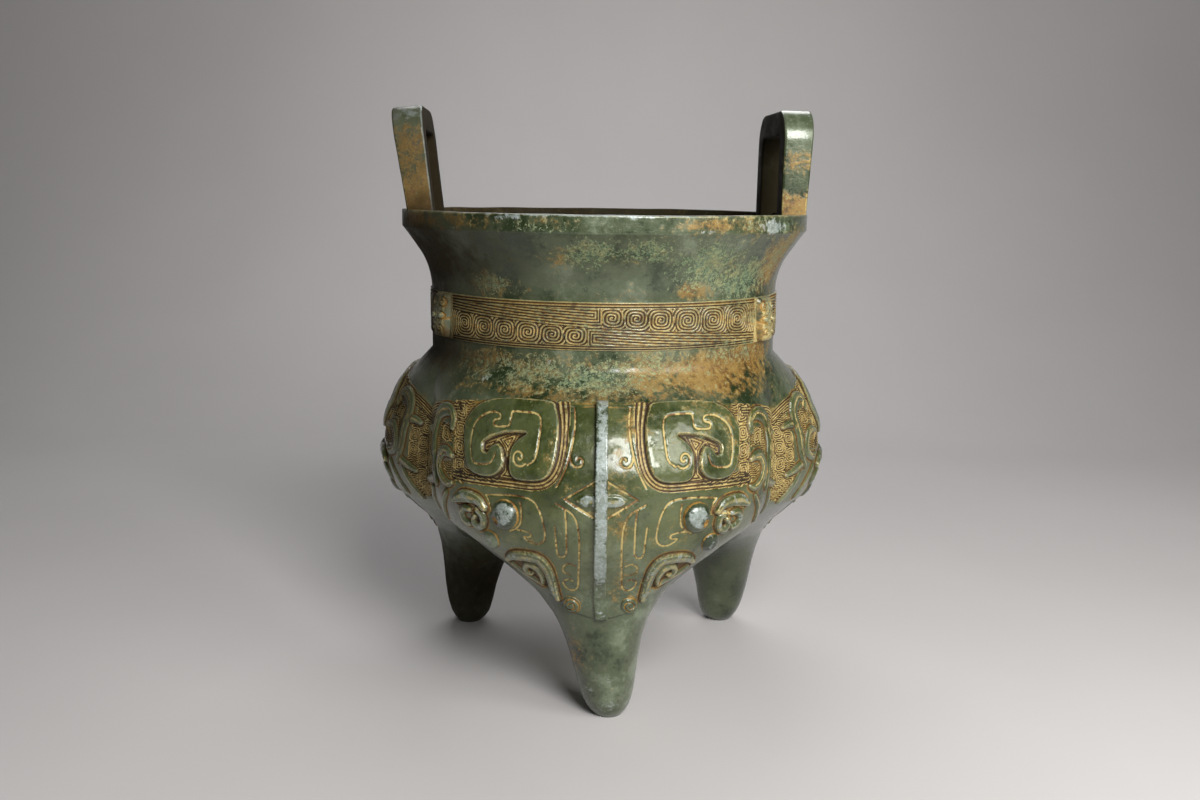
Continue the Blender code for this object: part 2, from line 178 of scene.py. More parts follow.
FACE_LINES = (
    ((46.5, 95.2), (40, 96.2), (32, 96.8), (26, 95.8), (23, 92), (21.5, 87), (21, 81.6), (22.4, 79),
     (25, 78.3), (28, 79.3), (29.5, 80.8), (27.2, 81), (26.6, 82.2), (28, 83.1), (33, 83.4), (35.5, 82.4)),
    ((31, 94.6), (30.4, 91), (30.8, 86.4), (33, 83.6)),
    ((46.5, 95.2), (44.8, 93), (44.0, 89)),
    ((16.6, 95.4), (11.4, 92.5), (9, 89), (8, 83), (7.9, 75), (8.2, 65), (8.4, 60), (9.5, 58), (11.5, 57.8),
     (13.5, 59.2), (14.1, 61.4), (12.2, 62.9), (10.4, 62.2)),
    ((9.3, 69.6), (11.8, 70.7), (14, 69), (13.8, 66.4), (11.4, 65.2)),
    ((13.3, 93.2), (12.8, 88), (12.7, 80), (12.8, 75.5), (14, 73.6), (15.6, 73.8), (16.3, 76), (16.8, 82),
     (17.2, 86.4)),
)
CROSS_BAR = ((1.0, 96.9, 4.6), (3.5, 96.9, 4.5), (6.0, 96.9, 4.2), (8.9, 96.9, 1.0))
# Fields of thunder pattern: outline, then the centres and the half sizes of its squared spirals
THUNDER_FIELDS = (
    (
        ((58.2, 97.0), (66.8, 97.5), (66.4, 112), (67, 118), (66.8, 127), (54.4, 128), (54, 125.4),
         (58.2, 121)),
        ((62.2, 123.6), (62.3, 117.0), (62.3, 110.4), (62.2, 103.8)),
        (3.75, 3.2),
    ),
    (
        ((88.6, 79.6), (95, 80.4), (105.5, 83.2), (105.5, 112.6), (96, 116.2), (86.6, 119.6), (88.8, 113),
         (88.8, 95)),
        ((92.2, 107.0), (92.3, 100.2), (92.2, 86.8), (98.8, 110.8), (99.0, 104.0), (99.0, 97.2),
         (98.9, 90.4), (98.0, 84.4)),
        (3.2, 3.2),
    ),
    (
        ((69.4, 117.8), (78.0, 117.4), (80.6, 110), (79.2, 105), (75, 110.6), (66.6, 111.0), (67.2, 115.6)),
        ((73.4, 114.0),),
        (3.3, 2.7),
    ),
    (((66.0, 98.4), (73.6, 99.4), (74.6, 103.4), (67.0, 105.2)), (), (1, 1)),
    (((38, 100.4), (66, 98.8), (66, 101.8), (57, 104.0), (40, 103.0)), (), (1, 1)),
)
# Curls: centre, radius, turns, start in degrees, and which way round
HORN_CURL = ((31.0, 110.8), 3.3, 1.3, 215, 1)
FOREHEAD_CURL = ((8.5, 111.3), 3.1, 1.0, 20, -1)
# Lift of the ground under the thunder pattern
THUNDER_GROUND = 0.52
# Above the brow and beyond the temple the mask's places stand closer
BROW = 97.0
TEMPLE = 58.0

# The fin down a lobe's middle: its ends, the height of the step in its top, and its rounded edge
FLANGE_SPAN = (45.5, 130.5)
FLANGE_STEP = 64.0
FLANGE_ARRIS = 0.45

# Bosses on one half of a lobe: (along, height, radius, lift)
BOSSES = {"eye": (37.2, 89.0, 6.1, 4.3), "button": (45.4, 76.6, 4.5, 2.8), "curl": (11.3, 51.1, 4.0, 2.2)}

# The frieze's spirals in one third of the neck: (along, height, half width, half height)
LOW_SPIRALS = ((-62.2, 156.2, 5.9, 5.0), (-50.8, 155.7, 5.6, 4.7), (-40.2, 155.3, 5.2, 4.5),
               (-29.8, 155.0, 5.1, 4.3), (-19.9, 154.6, 4.8, 3.9), (-10.8, 154.3, 4.6, 3.7))
HIGH_SPIRALS = ((3.2, 161.3, 4.7, 3.9), (12.5, 161.1, 4.8, 4.1), (22.2, 160.5, 5.1, 4.4),
                (33.6, 160.1, 5.6, 4.8), (45.6, 160.0, 5.9, 5.0), (59.0, 159.5, 6.6, 5.6))
# Where the upper lines bend down, how much they slope, and the point that one half is turned about
FRIEZE_HOOK = (-4.2, 162.4)
FRIEZE_SLOPE = 0.055
FRIEZE_TURN = (-3.3, 157.9)
FRIEZE_BORDERS = (149.3, 150.35, 165.35, 166.5)
# A beast head's rows: (height, half width, lift)
HEAD_ROWS = ((149.0, 5.0, 2.6), (150.6, 5.6, 3.8), (153.0, 6.0, 4.1), (158.0, 6.3, 3.6), (162.5, 6.9, 3.2),
             (165.4, 6.9, 2.8), (167.0, 6.4, 1.8))

# Weathering and painted shade by place: (azimuth from the front, height, half azimuth, half height, amount).
# The back of the vessel mirrors the front.
RUST_SPOTS = ((-62, 197, 14, 4, 0.60), (-40, 197, 10, 4, 0.34), (-12, 198, 9, 3, 0.29),
              (28, 197, 14, 4, 0.42), (43, 196, 9, 4, 0.39), (-85, 190, 20, 14, 0.38),
              (-5, 187, 8, 4.5, 0.28), (-13, 184, 5, 4, 0.30), (10, 187, 9, 5, 0.26), (27, 171, 6, 4, 0.55),
              (36, 180, 10, 8, 0.27), (61, 181, 11, 14, 0.55), (-36, 172, 9, 5, 0.37),
              (-55, 180, 10, 10, 0.25), (0, 170, 30, 2.5, 0.17), (-40, 143, 14, 6, 0.39),
              (-22, 141, 14, 6, 0.30), (0, 143, 12, 7, 0.35), (15, 140, 14, 8, 0.47),
              (34, 139, 20, 9, 0.67), (53, 146, 13, 14, 0.62), (0, 133, 54, 2.8, 0.39),
              (-64, 140, 16, 10, 0.24), (-30, 123, 10, 8, 0.22), (34, 118, 12, 12, 0.27),
              (0, 101, 9, 8, 0.29), (8, 125, 4.5, 8, 0.44), (-9, 112, 5, 12, 0.22), (4, 88, 2.6, 12, 0.40),
              (4.5, 106, 3, 10, 0.36), (4.4, 62, 2.2, 13, 0.36), (-7, 28, 4, 10, 0.42),
              (60, 112, 18, 20, 0.29), (-62, 112, 14, 18, 0.25), (4, 60, 10, 12, 0.15),
              (20, 84, 12, 10, 0.18), (-18, 80, 10, 10, 0.17), (48, 158, 24, 9, 0.25),
              (-40, 158, 20, 9, 0.15))
VERDIGRIS_SPOTS = (
    (-36, 173, 8, 4, 0.37), (-4, 186, 8, 5, 0.44), (12, 187, 8, 5, 0.44), (30, 182, 12, 9, 0.46),
    (46, 176, 13, 11, 0.46), (62, 186, 10, 10, 0.26), (-42, 141, 12, 6, 0.30), (-22, 140, 14, 6, 0.37),
    (-3, 139, 14, 7, 0.40), (15, 145, 12, 5, 0.28), (42, 147, 14, 4, 0.24), (50, 196, 13, 4, 0.37),
    (-20, 196, 14, 4, 0.20), (30, 116, 12, 12, 0.17), (-20, 110, 12, 10, 0.13), (2, 14, 8, 9, 0.17),
    (16, 64, 8, 10, 0.12), (-4, 158, 16, 8, 0.20),
)
PALE_SPOTS = ((49, 196.2, 5.5, 3.0, 0.60), (-6, 200.4, 34, 0.9, 0.58), (-24, 199.2, 6, 1.2, 0.46),
              (27, 194.4, 4, 0.9, 0.42), (8, 199.8, 8, 1.0, 0.40), (-42, 194.4, 2, 0.8, 0.40),
              (3, 19, 3.2, 1.4, 0.40), (-2, 13, 2.4, 1.6, 0.38), (6, 6, 8, 3.0, 0.34),
              (-30, 100, 4, 2, 0.26), (-34, 136, 3, 2, 0.30), (-16, 143, 3, 2, 0.34))
# Painted shade: these spots darken most of the vessel's left side, its left handle, the legs and the low
# ground between them, where the lamps leave the vessel in shade, and two thin bands above the frieze and the
# masks.
SHADE_AND_DIRT_SPOTS = ((-66, 182, 32, 22, 1.0), (-70, 144, 30, 12, 1.0), (-52, 193, 18, 9, 0.58),
               (-86, 170, 30, 40, 0.70), (-40, 118, 12, 20, 0.22), (-40, 158, 14, 9, 0.20),
               (-88, 222, 24, 30, 0.56), (-76, 116, 16, 26, 0.58), (-60, 197, 16, 6, 0.66),
               (-52, 138, 14, 8, 0.35), (-60, 20, 34, 34, 0.90), (60, 24, 30, 30, 0.30),
               (-62, 100, 14, 24, 0.40), (-8, 169.5, 60, 1.8, 0.34), (-10, 132, 60, 1.2, 0.30))

# Stage: the floor and its backdrop, and the camera's place in metres and turn in degrees
FLOOR_WIDTH = 6000.0
FLOOR_FRONT = -2500.0
FLOOR_BACK = 420.0
FLOOR_BEND = 420.0
WALL_TOP = 3200.0
CAMERA_PLACE = (-0.00092, -0.5110, 0.2090)
CAMERA_DOWN = 10.12
CAMERA_ROLL = 0.77


# ---------------------------------------------------------------- sizes, colours and lights a user may change
def length(name, description, default):
    """A size in metres, shown in the scene's length unit."""
    return bpy.props.FloatProperty(name=name, description=description, default=default, min=0.0,
                                   unit="LENGTH", precision=5)


def colour(name, description, default):
    """A surface colour."""
    return bpy.props.FloatVectorProperty(name=name, description=description, default=(*default, 1.0), size=4,
                                         min=0.0, max=1.0, subtype="COLOR")


def power(name, description, default):
    """A light's power in watts."""
    return bpy.props.FloatProperty(name=name, description=description, default=default, min=0.0, unit="POWER")


class LiReliefSizes(bpy.types.PropertyGroup):
    """Heights and widths of the cast ornament."""

    ground_lift: length("Ground", "Lift of the mask's ground above the skin", 0.00065)
    horn_lift: length("Horn", "Lift of the horns' flat plates above the skin", 0.00175)
    hook_lift: length("Hook", "Lift of the hooked bands beside the horns", 0.0017)
    ridge_lift: length("Ridge", "Lift of the ridges over the mouth", 0.0023)
    ear_lift: length("Ear", "Lift of the ears", 0.0026)
    line_width: length("Line width", "Width of an engraved line", 0.00095)
    line_depth: length("Line depth", "Depth of an engraved line", 0.0005)
    thunder_pitch: length("Thunder pattern pitch", "Spacing of the fine squared spirals' lines", 0.00092)
    thunder_depth: length("Thunder pattern depth", "Depth of the fine squared spirals", 0.00052)
    frieze_pitch: length("Frieze pitch", "Spacing of the frieze's lines", 0.0011)
    frieze_depth: length("Frieze depth", "Depth of the frieze's lines", 0.0007)
    flange_lift: length("Flange", "Height of the fin down each lobe", 0.0032)
    flange_width: length("Flange width", "Width of the fin down each lobe", 0.0045)


class LiPatinaColours(bpy.types.PropertyGroup):
    """Colours of the bronze and of what has grown on it."""

    green_dark: colour("Dark green", "Patina in its darkest clouds", (0.020, 0.033, 0.011))
    green: colour("Green", "Patina over most of the vessel", (0.078, 0.099, 0.051))
    # Pale green and pale earth also colour the rubbed edges, partly as a painted highlight
    green_pale: colour("Pale green", "Patina where it has been rubbed", (0.190, 0.229, 0.152))
    olive: colour("Olive", "Yellow-green stain over the masks", (0.100, 0.114, 0.024))
    rust: colour("Rust", "Brown rust in the middle of the patches", (0.190, 0.082, 0.020))
    ochre: colour("Ochre", "Orange earth in the hollows and in patches", (0.330, 0.188, 0.038))
    ochre_pale: colour("Pale earth", "Dry yellow earth on edges and in lines", (0.590, 0.460, 0.180))
    # Painted shade: near-black brown laid over the earth in the deepest grooves and beside raised plates and
    # bands, where shade falls
    umber: colour("Umber", "Dark dirt in the deepest lines", (0.020, 0.011, 0.004))
    verdigris: colour("Verdigris", "Turquoise crust", (0.105, 0.195, 0.125))
    verdigris_pale: colour("Pale verdigris", "Powdery bloom on the turquoise crust", (0.300, 0.370, 0.195))
    worn: colour("Worn", "Blue-grey metal where the patina is rubbed away", (0.275, 0.320, 0.285))
    bare: colour("Bare", "Pale blue scale in the middle of the worn places", (0.440, 0.500, 0.510))
    # Painted shade: a near-black brown for places the lamps leave dark, inside the vessel, on the handles'
    # inner faces and on the vessel's left side; inside the vessel it stands partly for soot.
    grime: colour("Grime", "Soot and dirt inside the vessel and the handles", (0.022, 0.014, 0.007))


class LiStudio(bpy.types.PropertyGroup):
    """Light and floor."""

    key_power: power("Key light", "Power of the strong light at the right", 1.4)
    window_power: power("Window", "Power of the broad light beside the camera", 6.6)
    fill_power: power("Fill light", "Power of the weak light at the left", 0.05)
    back_power: power("Back light", "Power of the soft light behind the vessel", 2.4)
    floor_colour: colour("Floor", "Colour of the floor and the backdrop", (0.64, 0.62, 0.62))


# ---------------------------------------------------------------- the vessel's own form
def follow(table, column, height):
    """Cubic through one column of a table, with the harmonic mean of the neighbouring slopes at each
    station, and level where the stations turn back."""
    knots, values = table[:, 0], table[:, column]
    steps = np.diff(knots)
    slopes = np.diff(values) / steps
    before, after = slopes[:-1], slopes[1:]
    same_way = before * after > 0
    tangents = np.concatenate((slopes[:1], np.zeros(len(before)), slopes[-1:]))
    tangents[1:-1][same_way] = 2 * before[same_way] * after[same_way] / (before + after)[same_way]
    height = np.clip(height, knots[0], knots[-1])
    i = np.clip(np.searchsorted(knots, height, side="right") - 1, 0, len(steps) - 1)
    t = (height - knots[i]) / steps[i]
    return ((1 + 2 * t) * (1 - t) ** 2 * values[i] + t * (1 - t) ** 2 * steps[i] * tangents[i]
            + t * t * (3 - 2 * t) * values[i + 1] + t * t * (t - 1) * steps[i] * tangents[i + 1])


def smoothstep(low, high, value):
    """0 below low, 1 above high, 3t^2 - 2t^3 between."""
    t = np.clip((value - low) / (high - low), 0, 1)
    return t * t * (3 - 2 * t)


def between(start, full, end, none, value):
    """Rises from 0 at start to 1 at full, and falls from 1 at end to 0 at none."""
    return smoothstep(start, full, value) * (1 - smoothstep(end, none, value))


def groove_cut(away, half_width):
    """Round-bottomed groove across its middle line: 1 - (away / half width)^2, and 0 outside."""
    return np.clip(1 - (away / half_width) ** 2, 0, 1)


def ripple(phase):
    """Fine lines side by side, one for each whole number of the phase: half of 1 - cos 2 pi phase."""
    return 0.5 - 0.5 * np.cos(2 * math.pi * phase)


# The cast wall's radii are kept for the hollow inside. Under the masks the outer skin lies back a little, so
# that the ornament stays within the cast's own size.
LEVELS = np.linspace(0.0, SHOULDER, 2821)
CAST_RADII = follow(LOBE_OUTLINE, 2, LEVELS)
CENTRES = follow(LOBE_OUTLINE, 1, LEVELS) - CAST_RADII
RADII = CAST_RADII - SKIN_BACK * smoothstep(44, 52, LEVELS) * (1 - smoothstep(114, 128, LEVELS))
RADIUS_SLOPES = np.gradient(RADII, LEVELS)
CENTRE_SLOPES = np.gradient(CENTRES, LEVELS)


def turned(points, angle):
    """Points turned about the vertical axis: x cos a - y sin a, x sin a + y cos a."""
    x, y, z = points[..., 0], points[..., 1], points[..., 2]
    return np.stack((x * np.cos(angle) - y * np.sin(angle), x * np.sin(angle) + y * np.cos(angle), z), -1)


def around_axis(azimuth, reach, height):
    """Place by its azimuth from the front: reach sin a, -reach cos a, height."""
    return np.stack(np.broadcast_arrays(np.sin(azimuth) * reach, -np.cos(azimuth) * reach, height), -1)


def lobe_skin(angle, height, lift=0.0):
    """Place on the lobe that faces -Y. Its outline at a height is a circle of radius r whose centre stands c
    out from the vessel's axis: (r sin a, -c - r cos a, height), raised by lift along the surface's normal
    (sin a, -cos a, -(r' + c' cos a)). Below the crotch the leg turns a little about the vessel's axis."""
    angle, height, lift = np.broadcast_arrays(angle, height, lift)
    radius = np.interp(height, LEVELS, RADII)
    centre = np.interp(height, LEVELS, CENTRES)
    slope = np.interp(height, LEVELS, RADIUS_SLOPES)
    slope = slope + np.interp(height, LEVELS, CENTRE_SLOPES) * np.cos(angle)
    rise = lift / np.sqrt(1 + slope ** 2)
    points = np.stack(((radius + rise) * np.sin(angle), -centre - (radius + rise) * np.cos(angle),
                       height - rise * slope), -1)
    return turned(points, LEG_TURN * np.clip(1 - height / LEG_TURN_TOP, 0, 1))


def on_lobe(along, height, lift=0.0):
    """Place on the lobe that faces -Y, by its distance along the outline: the angle is along / r."""
    return lobe_skin(along / np.interp(height, LEVELS, RADII), height, lift)


def groove_limit(radii, centres, angle):
    """How far up a column of the lobe runs before it meets the next lobe. They meet in the plane at 60
    degrees, where r sin(a - 60) = c sin 60, and the ratio c sin 60 / r never rises on the way up."""
    ratio = np.minimum.accumulate(centres * math.sin(SECTOR) / radii)
    wanted = np.sin(np.abs(angle) - SECTOR)
    top = np.interp(wanted, ratio[::-1], np.arange(len(ratio))[::-1].astype(float))
    return np.where(np.abs(angle) <= SECTOR, len(ratio) - 1.0, top)


LATTICE = np.random.default_rng(11).random((24, 24, 24))


def mottle(points, size, seed=0):
    """Value noise: random numbers on a cubic lattice of the given size, blended with 3t^2 - 2t^3 along each
    axis. The result runs from -1 to 1."""
    place = points / size + np.array((3.1, 7.7, 5.3)) * (seed + 1)
    cell = np.floor(place).astype(int)
    t = place - cell
    t = t * t * (3 - 2 * t)
    total = np.zeros(points.shape[:-1])
    for corner in range(8):
        step = np.array((corner & 1, corner >> 1 & 1, corner >> 2 & 1))
        i, j, k = np.moveaxis((cell + step) % len(LATTICE), -1, 0)
        weight = np.prod(np.where(step == 1, t, 1 - t), axis=-1)
        total += weight * LATTICE[i, j, k]
    return total * 2 - 1


# ---------------------------------------------------------------- meshes from grids
def grid_faces(rows, columns, first=0, around=False, closed=False):
    """Four-sided faces of a grid whose rows run upward and whose columns run anticlockwise, seen from above.
    `around` joins the last column to the first, and `closed` the last row to the first."""
    i = np.arange(rows if closed else rows - 1)[:, None]
    j = np.arange(columns if around else columns - 1)[None, :]
    up, on = (i + 1) % rows, (j + 1) % columns
    corners = (i * columns + j, i * columns + on, up * columns + on, up * columns + j)
    return np.stack(np.broadcast_arrays(*corners), -1).reshape(-1, 4) + first


def closed_tube(points):
    """Points and faces of a tube of closed rows, with a fan of triangles to a middle point at each end."""
    rows, columns = points.shape[:2]
    flat = points.reshape(-1, 3)
    flat = np.concatenate((flat, flat[:columns].mean(0)[None], flat[-columns:].mean(0)[None]))
    ring = np.arange(columns)
    ahead = (ring + 1) % columns
    last, middle = (rows - 1) * columns, np.full(columns, rows * columns)
    caps = np.concatenate((np.stack((ahead, ring, middle), -1),
                           np.stack((last + ring, last + ahead, middle + 1), -1)))
    return flat, grid_faces(rows, columns, around=True), caps


def slab_faces(rows, columns, stride):
    """Faces of a closed slab: a fine front grid, a coarse back grid made of every stride-th point, and a wall
    of triangles that joins the two rims. Returns which of the front's points the back repeats, quads and
    triangles."""
    back_rows = np.unique(np.append(np.arange(0, rows, stride), rows - 1))
    back_columns = np.unique(np.append(np.arange(0, columns, stride), columns - 1))
    m, n = len(back_rows), len(back_columns)

    def rim(r, c):
        """Numbers of a grid's outermost points, in one round."""
        down, right = np.arange(r), np.arange(c)
        return np.concatenate((right, down[1:] * c + c - 1, (r - 1) * c + right[::-1][1:],
                               down[::-1][1:-1] * c))

    front_rim = rim(rows, columns)
    back_rim = rim(m, n)
    fine_number = back_rows[back_rim // n] * columns + back_columns[back_rim % n]
    order = np.argsort(front_rim)
    at = order[np.searchsorted(front_rim, fine_number, sorter=order)]
    span = len(front_rim)
    middles = (at + np.append(at[1:], span)) / 2
    first = rows * columns
    step = np.arange(span)
    owner = np.searchsorted(at, step + 0.5) - 1
    owner = np.where(step + 0.5 < middles[owner], owner, owner + 1) % len(at)
    wall = np.stack((front_rim[(step + 1) % span], front_rim[step], back_rim[owner] + first), -1)
    turn = np.ceil(middles - 0.5).astype(int) % span
    wall_back = np.stack((back_rim + first, np.roll(back_rim, -1) + first, front_rim[turn]), -1)
    quads = np.concatenate((grid_faces(rows, columns), grid_faces(m, n, first)[:, ::-1]))
    return np.ix_(back_rows, back_columns), quads, np.concatenate((wall, wall_back))


def joined(front, back, marks):
    """Points of a front and a back in one list, and the front's marks with blanks for the back."""
    blank = np.zeros(back[..., 0].size)
    points = np.concatenate((front.reshape(-1, 3), back.reshape(-1, 3)))
    return points, {key: np.append(values.ravel(), blank) for key, values in marks.items()}


def rework(mesh, operation, **settings):
    """Runs one bmesh operation on a mesh."""
    work = bmesh.new()
    work.from_mesh(mesh)
    elements = {"verts": work.verts} if operation == "remove_doubles" else {"faces": work.faces}
    getattr(bmesh.ops, operation)(work, **elements, **settings)
    work.to_mesh(mesh)
    work.free()


def new_piece(name, points, quads, triangles=None, marks=None, weld=False, outward=False):
    """Mesh object from arrays, in millimetres about the vessel's axis, with its marks as point attributes.
    `weld` joins points that fall together, and `outward` turns the faces of a closed piece outward."""
    mesh = bpy.data.meshes.new(name)
    triangles = np.zeros((0, 3), int) if triangles is None else triangles
    corners = np.concatenate((quads.ravel(), triangles.ravel()))
    sizes = np.concatenate((np.full(len(quads), 4), np.full(len(triangles), 3)))
    starts = np.concatenate(([0], np.cumsum(sizes)[:-1]))
    points = points.reshape(-1, 3)
    mesh.vertices.add(len(points))
    mesh.vertices.foreach_set("co", ((points + np.array((0.0, AXIS_Y, 0.0))) * MM).ravel())
    mesh.loops.add(len(corners))
    mesh.loops.foreach_set("vertex_index", corners.astype(np.int32))
    mesh.polygons.add(len(sizes))
    mesh.polygons.foreach_set("loop_start", starts.astype(np.int32))
    mesh.update(calc_edges=True)
    worked = dict(weathering(points))
    for key, values in (marks or {}).items():
        worked[key] = np.clip(worked.get(key, 0) + np.asarray(values, float).ravel(), 0, 1)
    for key, values in worked.items():
        mesh.attributes.new(key, "FLOAT", "POINT").data.foreach_set("value", values.astype(np.float32))
    if weld:
        rework(mesh, "remove_doubles", dist=1e-5)
    mesh.validate()
    mesh.shade_smooth()
    piece = bpy.data.objects.new(name, mesh)
    bpy.context.scene.collection.objects.link(piece)
    mesh.materials.append(bpy.data.materials["old_bronze"])
    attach(piece, BODY)
    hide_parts(NODE)
    if outward:
        rework(mesh, "recalc_face_normals")


def one_per_lobe(name, points, *faces_and_marks, **settings):
    """The same piece on each lobe, turned by 120 degrees. The name has {} where the lobe's name goes."""
    for lobe, turn_by in LOBES.items():
        new_piece(name.format(lobe), turned(points, math.radians(turn_by)), *faces_and_marks, **settings)


def softened(values, reach):
    """Mean over a square window of the grid, by running sums along each axis."""
    for axis in (0, 1):
        padded = np.concatenate([np.take(values, [0], axis)] * reach + [values]
                                + [np.take(values, [-1], axis)] * reach, axis)
        total = np.cumsum(np.concatenate((np.take(padded, [0], axis) * 0, padded), axis), axis)
        width = 2 * reach + 1
        high = np.take(total, np.arange(width, total.shape[axis]), axis)
        low = np.take(total, np.arange(0, total.shape[axis] - width), axis)
        values = (high - low) / width
    return values


def weathering(points):
    """Broad patches of rust, verdigris and worn metal, and of painted shade: soft round spots by azimuth and
    height, of which the strongest counts: amount times exp(-0.7 d^2), with d the distance in half sizes."""
    azimuth = np.degrees(np.arctan2(points[:, 0], -points[:, 1]))
    behind = np.abs(azimuth) > 90
    azimuth = np.where(behind, np.sign(azimuth) * 180 - azimuth, azimuth)
    cloud = mottle(points, 9.0, 2) * 0.5 + mottle(points, 3.6, 4) * 0.35
    for name, spots, ragged in (("patch", RUST_SPOTS, 0.5), ("verdigris", VERDIGRIS_SPOTS, 0.6),
                                ("pale", PALE_SPOTS, 0.35), ("grime", SHADE_AND_DIRT_SPOTS, 0.3)):
        total = np.zeros(len(points))
        for place, height, half_place, half_height, amount in spots:
            away = ((azimuth - place) / half_place) ** 2 + ((points[:, 2] - height) / half_height) ** 2
            total = np.maximum(total, amount * np.exp(-away * 0.7 * (1 + ragged * cloud)))
        yield name, total * (1 - 0.7 * behind) if name == "pale" else total


# ---------------------------------------------------------------- drawing relief
def smooth(points, steps=5, closed=False):
    """Catmull-Rom curve: each stretch is a cubic through its two ends, aimed by the points on either side."""
    p = np.array(points, float)
    if closed:
        q = np.vstack((p[-1:], p, p[:2]))
    else:
        q = np.vstack((2 * p[:1] - p[1:2], p, 2 * p[-1:] - p[-2:-1]))
    a, b, c, d = (q[k:len(q) - 3 + k, None] for k in range(4))
    t = (np.arange(steps) / steps)[None, :, None]
    run = 0.5 * (2 * b + (c - a) * t + (2 * a - 5 * b + 4 * c - d) * t ** 2
                 + (3 * b - a - 3 * c + d) * t ** 3).reshape(-1, p.shape[1])
    return np.vstack((run, run[:1] if closed else p[-1:]))


def spiral(centre, radius, turns, start, way=1, inner=0.12, steps=14):
    """Line that winds inward: the radius falls evenly from `radius` to `inner` of it over the turns."""
    t = np.linspace(0, 1, int(turns * steps) + 1)
    angle = math.radians(start) + way * 2 * math.pi * turns * t
    reach = radius * (1 - (1 - inner) * t)
    return np.stack((centre[0] + reach * np.cos(angle), centre[1] + reach * np.sin(angle)), -1)


def nearest(path, x, y):
    """For each straight piece of a line: its ends, the share of it at which each place's nearest point lies,
    that point, and the distance to it."""
    for a, b in zip(path[:-1], path[1:]):
        step = b[:2] - a[:2]
        t = np.clip(((x - a[0]) * step[0] + (y - a[1]) * step[1]) / max(step @ step, 1e-9), 0, 1)
        foot_x, foot_y = a[0] + t * step[0], a[1] + t * step[1]
        yield a, b, t, foot_x, foot_y, np.hypot(x - foot_x, y - foot_y)


